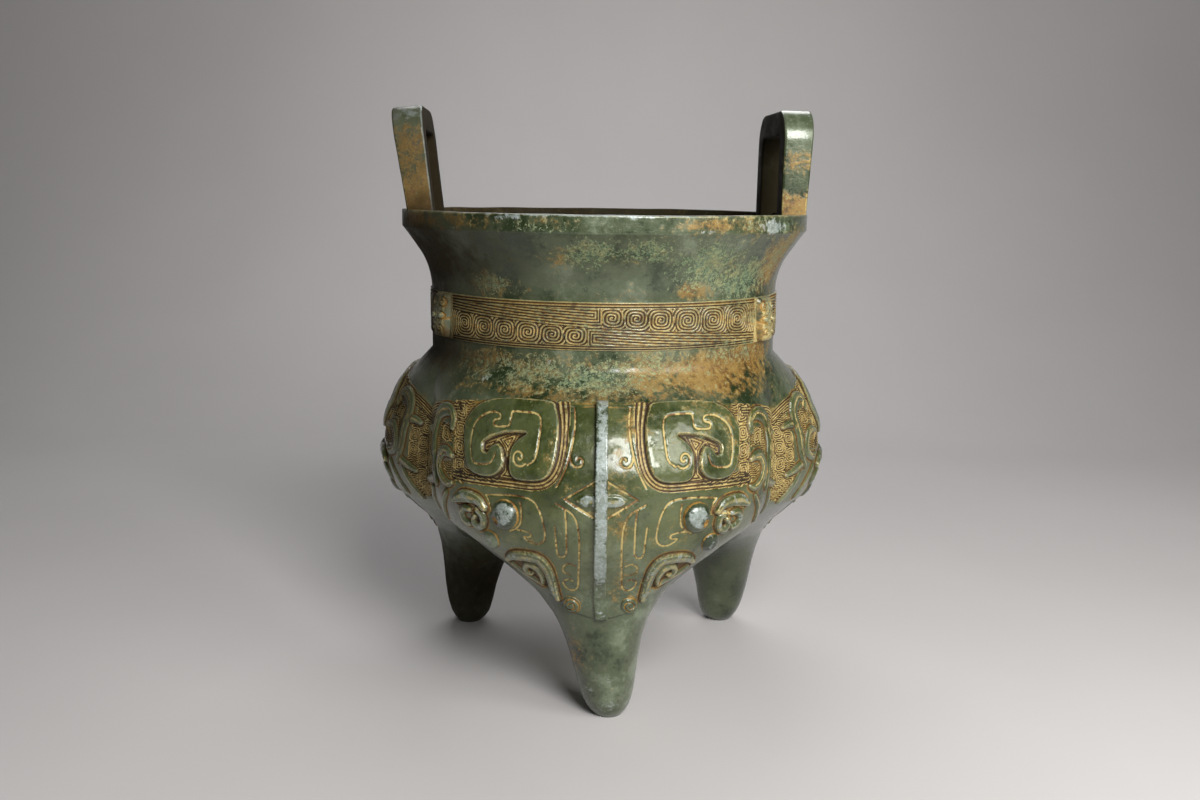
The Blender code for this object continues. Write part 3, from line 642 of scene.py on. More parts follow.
class Relief:
    """Ornament on a grid of places (along, height): the lift above the skin, and marks where earth has
    settled, where the patina is rubbed or bare, partly as a painted highlight on raised edges, where the
    ground lies deep, which is painted shade, and where a line is engraved."""

    def __init__(self, along, height, lift):
        """Starts with an even lift and with blank marks."""
        self.along = along.copy()
        self.height = height.copy()
        self.lift = np.broadcast_to(lift, along.shape).astype(float).copy()
        self.earth, self.rubbed, self.bare, self.deep, self.gilt = np.zeros((5, *along.shape))

    def near(self, path, margin):
        """The places inside a path's box, grown by the margin."""
        low, high = path[:, :2].min(0) - margin, path[:, :2].max(0) + margin
        return ((self.along > low[0]) & (self.along < high[0])
                & (self.height > low[1]) & (self.height < high[1]))

    def distance(self, path, here):
        """Least distance from each place to a run of straight pieces, less half the run's width there if it
        has one, and that width."""
        x, y = self.along[here], self.height[here]
        best = np.full(x.shape, np.inf)
        width = np.zeros(x.shape)
        for a, b, t, _, _, away in nearest(path, x, y):
            if path.shape[1] > 2:
                local = a[2] + t * (b[2] - a[2])
                away = away - local / 2
                width = np.where(away < best, local, width)
            best = np.minimum(best, away)
        return best, width

    def draw_in(self, path, reach):
        """Moves the places that lie closer to a line than `reach` onto the line, so that it stays unbroken on
        the grid. The grid's rim stays where it is."""
        path = np.asarray(path, float)
        here = self.near(path, 1.0)
        here[[0, -1], :] = False
        here[:, [0, -1]] = False
        x, y = self.along[here], self.height[here]
        best, to_x, to_y = np.full(x.shape, np.inf), x.copy(), y.copy()
        for _, _, _, foot_x, foot_y, away in nearest(path, x, y):
            closer = away < best
            best = np.where(closer, away, best)
            to_x, to_y = np.where(closer, foot_x, to_x), np.where(closer, foot_y, to_y)
        hold = best < reach * np.where((y > BROW) | (x > TEMPLE), 0.6, 1.0)
        self.along[here] = np.where(hold, to_x, x)
        self.height[here] = np.where(hold, to_y, y)

    def line(self, path, width, depth):
        """Engraved line with a round bottom: the depth times 1 - (2 d / width)^2. Its mark falls off evenly
        with the distance, so that the patina can find the line's exact middle."""
        path = np.asarray(path, float)
        here = self.near(path, 1.2)
        away, _ = self.distance(path, here)
        self.lift[here] -= depth * np.clip(1 - (2 * away / width) ** 2, 0, 1)
        self.gilt[here] = np.maximum(self.gilt[here], 1 - away)
        quiet = smoothstep(0.3, 0.7, away)
        self.deep[here] *= quiet
        self.rubbed[here] *= quiet

    def inside(self, outline, margin=2.0):
        """Distance inside a closed outline, negative outside, for the places near it. A place is inside if
        a line straight across from it meets the outline an odd number of times."""
        path = np.asarray(outline, float)
        here = self.near(path, margin)
        x, y = self.along[here], self.height[here]
        away, _ = self.distance(path, here)
        odd = np.zeros(x.shape, bool)
        for a, b in zip(path[:-1], path[1:]):
            crosses = (a[1] > y) != (b[1] > y)
            climb = b[1] - a[1] if b[1] != a[1] else 1e-9
            odd ^= crosses & (x < a[0] + (y - a[1]) * (b[0] - a[0]) / climb)
        return here, np.where(odd, away, -away)

    def held(self, outline, margin):
        """The places deeper inside a closed outline than the margin, and how deep they lie."""
        here, deep = self.inside(outline)
        hold = np.zeros(here.shape, bool)
        hold[here] = deep > margin
        return hold, deep[deep > margin]

    def plate(self, outline, top, edge=0.5, crown=0.0):
        """Flat plate with steep edges: the lift goes to `top` over the width `edge` inside the outline, and
        `crown` is how much lower the plate lies near its edge."""
        here, deep = self.inside(outline)
        share = smoothstep(-edge / 2, edge / 2, deep)
        level = top + crown * (1 - np.exp(-np.maximum(deep, 0) / 1.5)) - crown
        self.lift[here] += (level - self.lift[here]) * share
        hollow = smoothstep(-1.7, -0.4, deep) * (1 - share)
        self.earth[here] = np.maximum(self.earth[here], 0.9 * hollow) * (1 - share)
        # Painted shade: a dark band on the ground just outside the plate's edge
        self.deep[here] = np.maximum(self.deep[here], smoothstep(-1.4, -0.5, deep)) * (1 - share)
        # Rubbed edges, partly a painted highlight: the plate's edge is made pale
        edges = 0.8 * between(-0.1, 0.2, 0.3, 1.0, deep)
        self.rubbed[here] = np.maximum(self.rubbed[here] * (1 - share), edges)

    def sink(self, outline, level, edge=0.6, earth=0.7, dark=0.0):
        """Recess: inside the outline the lift goes down to `level`."""
        here, deep = self.inside(outline)
        share = smoothstep(-edge / 2, edge / 2, deep)
        self.lift[here] += (level - self.lift[here]) * share
        self.earth[here] = np.maximum(self.earth[here], earth * share)
        # Painted shade: `dark` darkens the bottom of the recess
        self.deep[here] = np.maximum(self.deep[here], dark * share)

    def band(self, stations, top, edge=0.6, round_top=0.35, bare=0.0):
        """Raised band about a curved line of changing width: across it the top falls off with the square of
        the distance from the line, by `round_top` in all."""
        path = smooth(stations)
        here = self.near(path, path[:, 2].max() / 2 + 1.8)
        out, width = self.distance(path, here)
        share = smoothstep(-edge / 2, edge / 2, -out)
        across = np.clip(1 + out / np.maximum(width / 2, 0.3), 0, 1)
        level = top - round_top * across ** 2
        self.lift[here] = np.maximum(self.lift[here], self.lift[here] + (level - self.lift[here]) * share)
        hollow = smoothstep(-1.7, -0.3, -out) * (1 - share)
        self.earth[here] = np.maximum(self.earth[here], 0.85 * hollow) * (1 - share)
        # Painted shade: a dark band on the ground just outside the band
        self.deep[here] = np.maximum(self.deep[here], 0.9 * smoothstep(-1.0, -0.3, -out)) * (1 - share)
        # Rubbed edges, partly a painted highlight: the band's edges are made pale
        edges = share * (1 - smoothstep(0.2, 0.55, across))
        self.rubbed[here] = np.maximum(self.rubbed[here] * (1 - share), 0.7 * edges)
        self.bare[here] = np.maximum(self.bare[here], bare * share)

    def cell(self, centre, half, pitch, depth, way=1, squareness=5.0, start=0.0):
        """Squared spiral: with q = (|x/a|^n + |y/b|^n)^(1/n), the depth times half of
        1 - cos 2 pi (q b / pitch - angle / 2 pi), inside q = 1."""
        x = (self.along - centre[0]) / half[0]
        y = (self.height - centre[1]) / half[1]
        here = (np.abs(x) < 1) & (np.abs(y) < 1)
        x, y = x[here], y[here]
        q = (np.abs(x) ** squareness + np.abs(y) ** squareness) ** (1 / squareness)
        phase = q * half[1] / pitch - way * (np.arctan2(y, x) / (2 * math.pi) + start)
        self.rows(here, phase, depth * (1 - smoothstep(0.95, 1.0, q)))

    def rows(self, here, phase, depth):
        """Row of parallel fine lines: the depth times half of 1 - cos 2 pi phase."""
        cut = ripple(phase)
        self.lift[here] -= depth * cut
        self.earth[here] = np.maximum(self.earth[here], 0.45 + 0.5 * smoothstep(0.3, 0.8, cut))
        # Painted shade in the bottoms of the fine lines, and a partly painted highlight on the ridges between
        # them
        self.deep[here] = np.maximum(self.deep[here], smoothstep(0.3, 0.7, cut))
        self.rubbed[here] = np.maximum(self.rubbed[here], 0.7 * (1 - smoothstep(0.1, 0.4, cut)))

    def settle(self, reach=3):
        """Earth lies where the surface is lower than its surroundings, and painted shade darkens the same
        places;
        edges that stand up are rubbed, partly as a painted highlight. Returns the marks by the names that the
        patina reads."""
        mean = softened(self.lift, reach)
        hollow = smoothstep(0.08, 0.5, mean - self.lift)
        proud = smoothstep(0.08, 0.5, self.lift - mean)
        return {"earth": np.clip(np.maximum(self.earth, 0.9 * hollow), 0.13, 1),
                "rubbed": np.clip(np.maximum(self.rubbed, 0.8 * proud), 0, 1), "pale": self.bare,
                "deep": np.maximum(self.deep, hollow), "gilt": self.gilt,
                "olive": smoothstep(42, 66, self.height)}


# ---------------------------------------------------------------- the mask
def spread(stations):
    """Coordinates from (end, step) pairs: even steps up to each end in turn."""
    values = [np.zeros(1)]
    for end, step in stations:
        start = values[-1][-1]
        count = max(1, int(round((end - start) / step)))
        values.append(np.linspace(start, end, count + 1)[1:])
    return np.concatenate(values)


def mask_grid():
    """Places (along, height) of half a mask. Columns are closest over the thunder pattern, and rows run in
    even steps from the foot to the brow, then in closer steps to the top."""
    along = spread(((3, 0.75), (14, 0.42), (TEMPLE, 0.39), (67, 0.29), (86, 0.36), (102, 0.32), (105, 0.75)))
    foot = np.interp(along, *np.array(PANEL_FOOT, float).T)
    top = np.interp(along, *np.array(PANEL_TOP, float).T)
    brow = np.maximum(BROW, foot + 2.5)
    low = np.linspace(0, 1, 88)[:, None]
    high = np.linspace(0, 1, 100)[1:, None]
    height = np.concatenate((foot + low * (brow - foot), brow + high * (top - brow)))
    return np.broadcast_to(along, height.shape), height, top - height


def thunder(relief, field, pitch, depth, drift):
    """Thunder pattern: a sunk field of level wavy lines, with squared spirals set into it."""
    outline, cells, half = field
    ring = np.array(outline + outline[:1], float)
    relief.sink(ring, THUNDER_GROUND, earth=0.4)
    hold, deep = relief.held(ring, 0.1)
    wave = relief.height[hold] + 0.4 * np.sin(relief.along[hold] * 0.9 + relief.height[hold] * 0.5)
    relief.rows(hold, wave / pitch, depth * smoothstep(0.1, 0.5, deep))
    for number, centre in enumerate(cells):
        patch = (np.abs(relief.along - centre[0]) < half[0]) & (np.abs(relief.height - centre[1]) < half[1])
        relief.lift[patch] = THUNDER_GROUND
        relief.deep[patch] = 0
        relief.cell(centre, half, pitch, depth, 1 if number % 2 else -1, start=drift)


def draw_edges(relief, along, below, sizes, drift):
    """Two engraved lines under the mask's top edge, with the groove 1 - (2 d / width)^2 as their section, the
    fields of thunder pattern, and fine lines that fan out under the top edge beside the groove."""
    for gap in (0.8, 1.9):
        cut = groove_cut(below - gap, 0.4)
        relief.lift = relief.lift - 0.25 * cut
        relief.earth = np.maximum(relief.earth, 0.5 * cut)
    for field in THUNDER_FIELDS:
        thunder(relief, field, sizes.thunder_pitch / MM, sizes.thunder_depth / MM, drift)
    hold = (along > 57) & (below > 0.7) & (below < 0.7 + 5 * smoothstep(57, 66, along))
    relief.rows(hold, below[hold] - 0.7, 0.42)


def draw_horn(relief, sizes, width, depth):
    """Lines that follow the horn's inner edge and spread where they start, then the horn's plate with its
    slot of fine lines, its engraved line and its curl."""
    guide = smooth(HORN_EDGE_GUIDE)
    here = relief.near(guide, 4)
    away, _ = relief.distance(guide, here)
    away = away / (1 + 0.55 * smoothstep(119, 130, relief.height[here]))
    hold = np.zeros(here.shape, bool)
    hold[here] = away < 1.9
    away = away[away < 1.9]
    relief.rows(hold, away / 1.27 + 0.5, 0.36 * (1 - smoothstep(1.6, 1.9, away)))

    slot = np.array(SLOT_FILL + SLOT_FILL[:1], float)
    relief.sink(slot, THUNDER_GROUND, earth=0.5)
    hold, deep = relief.held(slot, 0.0)
    relief.rows(hold, deep / (sizes.thunder_pitch / MM), sizes.thunder_depth / MM)
    relief.plate(smooth(HORN, 4, closed=True), sizes.horn_lift / MM, edge=0.4, crown=0.2)
    for path in HORN_LINES:
        relief.line(smooth(path), width, depth)
    relief.line(spiral(*HORN_CURL), width, depth)


def draw_cheek(relief, sizes):
    """Hooked bands and barbs beside the horn, the jaw with its pit, ridge and tusk, and the ear."""
    hook, ridge, ear = sizes.hook_lift / MM, sizes.ridge_lift / MM, sizes.ear_lift / MM
    for path in BARBS:
        relief.band(path, hook - 0.15)
    relief.band(LARGE_HOOK, hook)
    relief.band(SMALL_HOOK, hook)
    for path in HOOK_LINES:
        relief.line(smooth(path), 0.9, 0.45)
    # Painted shade: the pit beside the jaw is darkened
    relief.sink(smooth(JAW_PIT, 4, closed=True), 0.0, earth=0.9, dark=0.7)
    relief.band(JAW, ridge * 0.5, round_top=0.5)
    relief.band(RIDGE, ridge, edge=0.5, round_top=0.5, bare=0.24)
    relief.band(TUSK, ridge * 0.8, round_top=0.5)
    for number, path in enumerate(EAR):
        relief.band(path, ear - 0.3 * number, round_top=0.7, bare=0.26)
    for path in EAR_LINES:
        relief.line(smooth(path), 0.95, 0.5)


def draw_face(relief, along, height, width, depth):
    """Lozenge and cross bar on the forehead, and the engraved lines of the forehead and the face."""
    lozenge = np.array(LOZENGE, float)
    relief.sink(np.vstack((lozenge, lozenge[:1])), 0.25, edge=0.9, earth=0.3)
    relief.line(lozenge[1:4], width, depth)
    relief.band(CROSS_BAR, 1.15, round_top=0.3, bare=0.42)
    relief.earth[(along < 11) & (np.abs(height - CROSS_BAR[0][1]) < 3.6)] *= 0.3
    relief.line(smooth(FOREHEAD_LINE), width, depth)
    relief.line(spiral(*FOREHEAD_CURL), width * 0.9, depth * 0.8)
    for path in FACE_LINES:
        relief.line(smooth(path), width, depth)


def mask_relief(sizes, variant):
    """Ornament of half a mask. The two halves differ a little in their spirals and in their wear: two sizes
    of noise that grow where the surface stands proud, and one broad one."""
    along, height, below = mask_grid()
    ground = sizes.ground_lift / MM
    relief = Relief(along, height, ground * (0.35 + 0.65 * smoothstep(0.0, 1.6, below)))
    width, depth = sizes.line_width / MM, sizes.line_depth / MM
    for path in HORN_LINES + EAR_LINES + HOOK_LINES + FACE_LINES + (FOREHEAD_LINE,):
        relief.draw_in(smooth(path), 0.3)
    relief.draw_in(LOZENGE[1:4], 0.3)
    draw_edges(relief, along, below, sizes, 0.35 * variant)
    draw_horn(relief, sizes, width, depth)
    draw_cheek(relief, sizes)
    draw_face(relief, along, height, width, depth)

    points = on_lobe(along, height)
    proud = smoothstep(0.9, 1.6, relief.lift)
    worn = mottle(points, 1.5, variant) * (0.03 + 0.06 * proud)
    worn += mottle(points, 2.8, 2) * (0.04 + 0.07 * proud)
    worn += mottle(points, 8.0, 3 + variant) * 0.10
    relief.lift = np.maximum(relief.lift + worn, 0.04)
    return relief


# ---------------------------------------------------------------- the body
def body_angles():
    """Angles of a lobe's columns: even steps over the front, then closer to the back the angles at which the
    groove comes down by even steps of height, and even steps again under the crotch."""
    near = np.radians(np.linspace(0, 60, 21))
    steps = np.linspace(LEVELS[-1], CROTCH, 25)[1:]
    ratio = CENTRES * math.sin(SECTOR) / RADII
    far = np.unique(np.round(SECTOR + np.arcsin(np.clip(np.interp(steps, LEVELS, ratio), 0, 1)), 2))
    under = np.radians(np.linspace(150, 180, 6))
    half = np.concatenate((near, far[(far > SECTOR + 0.008) & (far < np.radians(149))], under))
    return np.concatenate((-half[:0:-1], half))


def laid_on_groove(row, angles):
    """A row of points whose columns beyond 60 degrees are laid on the plane that two lobes share: each point
    less its distance to the plane, times the plane's normal."""
    side = np.sign(angles) * (np.abs(angles) > SECTOR + 1e-6)
    normal = np.stack((side * math.cos(SECTOR), np.abs(side) * math.sin(SECTOR), side * 0), -1)
    return row - np.sum(row * normal, -1, keepdims=True) * normal


def outer_lobe(angles):
    """Skin of one lobe and its leg, with the foot's underside drawn in to its centre."""
    levels = np.linspace(0, SHOULDER, 64)[:, None]
    top = np.interp(groove_limit(RADII, CENTRES, angles), np.arange(len(LEVELS)), LEVELS)
    skin = lobe_skin(angles[None, :], np.where(levels > top - 0.8, top, levels))
    skin[-1] = laid_on_groove(skin[-1], angles)
    centre = turned(np.array((0.0, -CENTRES[0], 0.0)), LEG_TURN)
    foot = centre + (skin[:1] - centre) * np.array((0.0, 0.4, 0.8))[:, None, None]
    return np.concatenate((foot, skin))


def inner_lobe(angles):
    """Hollow inside one lobe, one wall further in along the surface's normal, down to the pocket's floor.
    Returns its points, and the radius and height of its upper edge."""
    levels = LEVELS[LEVELS >= POCKET_FLOOR]
    growth = np.interp(levels, LEVELS, np.gradient(CAST_RADII, LEVELS))
    lean = np.hypot(1, growth)
    radii = np.interp(levels, LEVELS, CAST_RADII) - WALL / lean
    centres = np.interp(levels, LEVELS, CENTRES)
    heights = levels + WALL * growth / lean
    numbers = np.arange(len(levels))
    at = np.linspace(numbers[-1], 0, 32)[:, None]
    limit = groove_limit(radii, centres, angles)
    at = np.where(at > limit - 20, limit, at)
    radius, centre = np.interp(at, numbers, radii), np.interp(at, numbers, centres)
    skin = np.stack((radius * np.sin(angles), -centre - radius * np.cos(angles),
                     np.interp(at, numbers, heights)), -1)
    skin[0] = laid_on_groove(skin[0], angles)
    middle = np.array((0.0, -centres[0], heights[0]))
    floor = middle + (skin[-1:] - middle) * np.array((0.66, 0.33, 0.0))[:, None, None]
    return np.concatenate((skin, floor)), (radii[-1], heights[-1])


def upright(radius, low, high, count):
    """Profile points (radius, height) straight up, or down, at one radius."""
    return np.stack((np.full(count, radius), np.linspace(low, high, count)), -1)


def neck_profile(inner_edge):
    """(radius, height) up the neck, out under the lip, over the rim with its two rounded arrises, and down
    the mouth to the hollow's upper edge. The sweeps are parts of circles: R (1 - cos a), R sin a."""
    sweep = np.linspace(0, SWEEP_ANGLE, 12)
    quarter = np.linspace(0, math.pi / 2, 5)
    mouth = np.linspace(MOUTH_SWEEP_ANGLE, 0, 8)
    neck = upright(NECK_RADIUS, SHOULDER, SWEEP_START - 0.4, 12)
    flare = np.stack((NECK_RADIUS + SWEEP_RADIUS * (1 - np.cos(sweep)),
                      SWEEP_START + SWEEP_RADIUS * np.sin(sweep)), -1)
    out = np.array((RIM_RADIUS - 0.5, LIP_BOTTOM - 0.4)) - flare[-1]
    under = flare[-1] + out * np.linspace(0, 1, 5)[1:, None]
    edge = np.array(((RIM_RADIUS - 0.1, LIP_BOTTOM), (RIM_RADIUS, LIP_BOTTOM + 0.5)))
    rim = upright(RIM_RADIUS, LIP_BOTTOM + 1.2, RIM_HEIGHT - ARRIS - 0.3, 5)
    outer_arris = np.stack((RIM_RADIUS - ARRIS + ARRIS * np.cos(quarter),
                            RIM_HEIGHT - ARRIS + ARRIS * np.sin(quarter)), -1)
    inner_arris = np.stack((MOUTH_RADIUS + ARRIS - ARRIS * np.sin(quarter),
                            RIM_HEIGHT - ARRIS + ARRIS * np.cos(quarter)), -1)
    inward = np.stack((NECK_RADIUS - WALL + MOUTH_SWEEP_RADIUS * (1 - np.cos(mouth)),
                       MOUTH_SWEEP_START + MOUTH_SWEEP_RADIUS * np.sin(mouth)), -1)
    throat = upright(NECK_RADIUS - WALL, MOUTH_SWEEP_START - 2, SHOULDER, 12)[:-1]
    return np.concatenate((neck, flare, under, edge, rim, outer_arris, inner_arris, inward, throat,
                           np.array((inner_edge,))))


def cast_unevenly(points):
    """Moves the body's points a little: the lip's top goes up and down, and the neck is not quite round."""
    lip = smoothstep(LIP_BOTTOM, LIP_BOTTOM + 2, points[:, 2]) * (np.hypot(points[:, 0], points[:, 1]) > 78)
    points[:, 2] += lip * (0.25 * mottle(points * np.array((1, 1, 0)), 13.0, 5) - 0.1)
    wave = between(168, 172, 190, 193, points[:, 2])
    points[:, :2] *= (1 + wave * 0.0022 * mottle(points, 16.0, 6))[:, None]


class LI_OT_cast_body(bpy.types.Operator):
    """Casts the vessel's plain body: three lobes and legs, neck, lip and hollow inside"""

    bl_idname = "li.cast_body"
    bl_label = "Cast body"
    bl_options = {"REGISTER", "UNDO"}

    def execute(self, context):
        """Each lobe's columns climb in level rows from the foot to the shoulder, or to the groove, where
        their last points are laid on the plane that two lobes share. The neck and lip are a profile of
        (radius, height) turned about the axis. The inside repeats both, one wall further in."""
        angles = body_angles()
        outer = outer_lobe(angles)
        inner, inner_edge = inner_lobe(angles)
        profile = neck_profile(inner_edge)
        neck = around_axis(angles[np.abs(angles) <= SECTOR + 1e-9], profile[:, :1], profile[:, 1:])
        points, quads, inside_shaded, count = [], [], [], 0
        for turn_by in LOBES.values():
            for block in (outer, neck, inner):
                rows, columns = block.shape[:2]
                points.append(turned(block, math.radians(turn_by)).reshape(-1, 3))
                quads.append(grid_faces(rows, columns, count))
                inside_shaded.append(np.full(rows * columns, block is inner, float))
                count += rows * columns
        points = np.concatenate(points)
        cast_unevenly(points)
        height = points[:, 2]
        radius = np.hypot(points[:, 0], points[:, 1])
        mouth = (height > SHOULDER + 1) & (radius < np.interp(height, BORE_HEIGHTS, BORE_RADII))
        rim = smoothstep(RIM_HEIGHT - 1.6, RIM_HEIGHT - 0.6, height)
        # Painted shade: the hollow inside and the inside of the mouth take the near-black colour, partly as
        # soot, where shade falls
        marks = {"rubbed": rim * 0.55 * (radius > MOUTH_RADIUS - 0.5),
                 "grime": np.maximum(np.concatenate(inside_shaded), mouth) * 0.9}
        new_piece("body", points, np.concatenate(quads), marks=marks, weld=True)
        return {"FINISHED"}


class LI_OT_carve_masks(bpy.types.Operator):
    """Carves the mask on each lobe, as a left and a right slab that stand a little proud of the body"""

    bl_idname = "li.carve_masks"
    bl_label = "Carve masks"
    bl_options = {"REGISTER", "UNDO"}

    def execute(self, context):
        """A slab's front is the lobe's skin raised by the ornament, its back lies in the wall, and the side
        that reaches the groove is flattened on the plane where two lobes meet. The left half mirrors the
        right, and below the crotch it is turned back by twice the leg's turn."""
        outward = np.array((math.cos(SECTOR), math.sin(SECTOR), 0.0))
        for half, side, variant in (("right_half", 1, 0), ("left_half", -1, 1)):
            relief = mask_relief(context.scene.li_relief, variant)
            pick, quads, triangles = slab_faces(*relief.lift.shape, 9)
            front = on_lobe(relief.along, relief.height, relief.lift)
            back = on_lobe(relief.along[pick], relief.height[pick], MASK_ROOT)
            points, marks = joined(front, back, relief.settle())
            points -= np.maximum(points @ outward, 0)[:, None] * outward
            if side < 0:
                points = points * np.array((-1, 1, 1))
                low = points[:, 2] < LEG_TURN_TOP
                points[low] = turned(points[low], 2 * LEG_TURN * (1 - points[low, 2] / LEG_TURN_TOP))
                quads, triangles = quads[:, [0, 3, 2, 1]], triangles[:, ::-1]
            one_per_lobe("mask_{}_" + half, points, quads, triangles, marks)
        return {"FINISHED"}


class LI_OT_raise_flanges(bpy.types.Operator):
    """Raises the upright fin down the middle of each lobe"""

    bl_idname = "li.raise_flanges"
    bl_label = "Raise flanges"
    bl_options = {"REGISTER", "UNDO"}

    def execute(self, context):
        """A rounded oblong section (across, lift) carried up the lobe's middle line, lower at its foot, with
        small chips in its top and sides."""
        sizes = context.scene.li_relief
        half = sizes.flange_width / MM / 2
        lift = sizes.flange_lift / MM
        foot, head = FLANGE_SPAN
        height = np.linspace(foot, head, 170)[:, None]
        arris = FLANGE_ARRIS
        quarter = np.linspace(0, math.pi / 2, 4)
        wall = np.stack((np.full(4, half), np.linspace(FLANGE_ROOT, lift - arris - 0.2, 4)), -1)
        corner = np.stack((half - arris + arris * np.cos(quarter),
                           lift - arris + arris * np.sin(quarter)), -1)
        top = np.stack((np.linspace(half - arris - 0.3, 0, 4), np.full(4, lift)), -1)
        section = np.concatenate((wall, corner, top))
        section = np.concatenate((section, (section * np.array((-1, 1)))[::-1][1:]))
        across, up = section[:, 0], section[:, 1]

        low_foot = 1 - 0.22 * (1 - smoothstep(FLANGE_STEP, FLANGE_STEP + 0.8, height))
        ends = between(foot, foot + 0.6, head - 0.7, head, height)
        level = np.where(up > 0, up * low_foot * (0.45 + 0.55 * ends), up)
        place = across * np.ones_like(height)
        points = on_lobe(place, height, level)
        dents = (up > 0.5) * mottle(points, 1.7, 6) * 0.10 * (level < lift * 0.99)
        chips = (up > 0.5) * np.abs(mottle(points, 2.6, 7)) * 0.12
        place = place + np.sign(place) * (up > 0) * mottle(points, 2.4, 8) * 0.10
        points, quads, caps = closed_tube(on_lobe(place, height, level + dents - chips))

        front = (up > lift * 0.8) * np.ones_like(height)
        middle = 1 - 0.35 * smoothstep(0.5, 0.95, np.abs(across) / half)
        bright = 0.24 + 0.30 * smoothstep(FLANGE_STEP - 0.2, FLANGE_STEP + 0.6, height)
        pale = front * middle * (bright - 0.12 * smoothstep(114, 124, height))
        sides = (up <= lift * 0.45) * np.ones_like(height) * 0.7
        marks = {"pale": np.append(pale, (0, 0)), "earth": np.append(sides, (0, 0))}
        one_per_lobe("flange_{}", points, quads[:, ::-1], caps[:, ::-1], marks, outward=True)
        return {"FINISHED"}


def boss(kind, side, q, turn):
    """A flattened half ball in polar coordinates about its place on the lobe, with q from 0 at the crown to 1
    at the edge: the lift is L (1 - q^2.4)^(1/2), and the edge goes down into the wall. Eyes have a pit, curls
    have a spiral line. Returns the points, and marks of earth and of pale metal."""
    along, height, radius, lift = BOSSES[kind]
    x, y = q * radius * np.cos(turn), q * radius * np.sin(turn)
    level = lift * np.sqrt(np.clip(1 - q ** 2.4, 0, 1)) * np.ones_like(turn)
    dirt = smoothstep(0.85, 1.0, q) * np.ones_like(turn)
    light = np.zeros(level.shape)
    if kind == "eye":
        pit = np.hypot(x - side * 2.9, y + 1.7)
        level = level - 1.2 * (1 - smoothstep(0.8, 2.0, pit))
        dirt = np.maximum(dirt, 1 - smoothstep(1.2, 2.2, pit))
        light = 0.46 * (1 - smoothstep(3.0, 5.4, np.hypot(x + side * 0.8, y - 1.0))) * (1 - dirt)
    if kind == "button":
        light = 0.3 * (1 - smoothstep(0.3, 0.7, q)) * np.ones_like(turn)
    if kind == "curl":
        wind = np.hypot(x, y) / 1.55 - side * turn / (2 * math.pi)
        cut = smoothstep(0.5, 1.0, 1 - ripple(wind)) * smoothstep(0.1, 0.3, q)
        level = level - 0.7 * cut * (1 - smoothstep(0.9, 1.0, q))
        dirt = np.maximum(dirt, cut)
    level[-1] = BOSS_ROOT
    places = on_lobe(side * along + x, height + y, np.maximum(level, BOSS_ROOT))
    level = level + (level > 0.3) * (mottle(places, 1.9, 9) * 0.16 - 0.05)
    return on_lobe(side * along + x, height + y, level), dirt, light


class LI_OT_set_bosses(bpy.types.Operator):
    """Sets the eyes, the buttons beside them and the curls at the snout on each lobe"""

    bl_idname = "li.set_bosses"
    bl_label = "Set bosses"
    bl_options = {"REGISTER", "UNDO"}

    def execute(self, context):
        """All six bosses of a lobe make one piece. Each is a grid of rings, with a fan at its back."""
        q = np.concatenate((np.linspace(0, 0.88, 16), np.linspace(0.91, 1.0, 5), (1.0,)))[:, None]
        turn = np.linspace(0, 2 * math.pi, 45)[:-1][None, :]
        rows, columns = len(q), turn.size
        points, faces, caps, earth, pale = [], [], [], [], []
        count = 0
        for side in (1, -1):
            for kind in BOSSES:
                places, dirt, light = boss(kind, side, q, turn)
                points.append(np.concatenate((places.reshape(-1, 3), places[-1].mean(0)[None])))
                faces.append(grid_faces(rows, columns, count, around=True))
                ring = count + (rows - 1) * columns + np.arange(columns)
                middle = np.full(columns, count + rows * columns)
                caps.append(np.stack((ring, np.roll(ring, -1), middle), -1))
                earth.append(np.append(dirt, 0))
                pale.append(np.append(light, 0))
                count += rows * columns + 1
        marks = {"earth": np.concatenate(earth) * 0.8, "pale": np.concatenate(pale)}
        one_per_lobe("bosses_{}", np.concatenate(points), np.concatenate(faces), np.concatenate(caps), marks,
                     weld=True, outward=True)
        return {"FINISHED"}


def frieze_cut(along, height, pitch):
    """Depth of the frieze's lines, 0 to 1, over one third of the neck. The right half is the left half turned
    by 180 degrees. Low in it stand squared spirals, each holding the places nearest to it: with
    q = (|u|^3 + |v|^3)^(1/3), the phase is q b / pitch - angle / 2 pi. Above them a sheaf of lines runs
    level, and bends into a squared hook where it ends."""
    hook_x, hook_y = FRIEZE_HOOK
    low_side = along < np.where(height > 157.8, hook_x + 3.8, hook_x - 2.0)
    x = np.where(low_side, along, 2 * FRIEZE_TURN[0] - along)
    y = np.where(low_side, height, 2 * FRIEZE_TURN[1] - height)
    coil = y < np.where(low_side, 157.4, 158.1) - FRIEZE_SLOPE * (x + 5)
    phase, best = np.zeros(along.shape), np.full(along.shape, np.inf)
    for cx, cy, half_x, half_y in LOW_SPIRALS + HIGH_SPIRALS:
        u, v = (along - cx) / half_x, (height - cy) / half_y
        lean = np.hypot(u + 0.22 * v, v * 0.5)
        q = (np.abs(u) ** 3.0 + np.abs(v) ** 3.0) ** (1 / 3.0)
        closer = lean < best
        best = np.where(closer, lean, best)
        phase = np.where(closer, q * half_y / pitch - np.arctan2(v, u) / (2 * math.pi), phase)
    slant = np.abs(y - hook_y + FRIEZE_SLOPE * (x - hook_x))
    bend = np.maximum(x - hook_x, np.abs(y - hook_y))
    cut = ripple(np.where(coil, phase, np.where(x < hook_x, slant, bend) / pitch))
    return cut * between(150.7, 151.0, 164.7, 165.0, height)


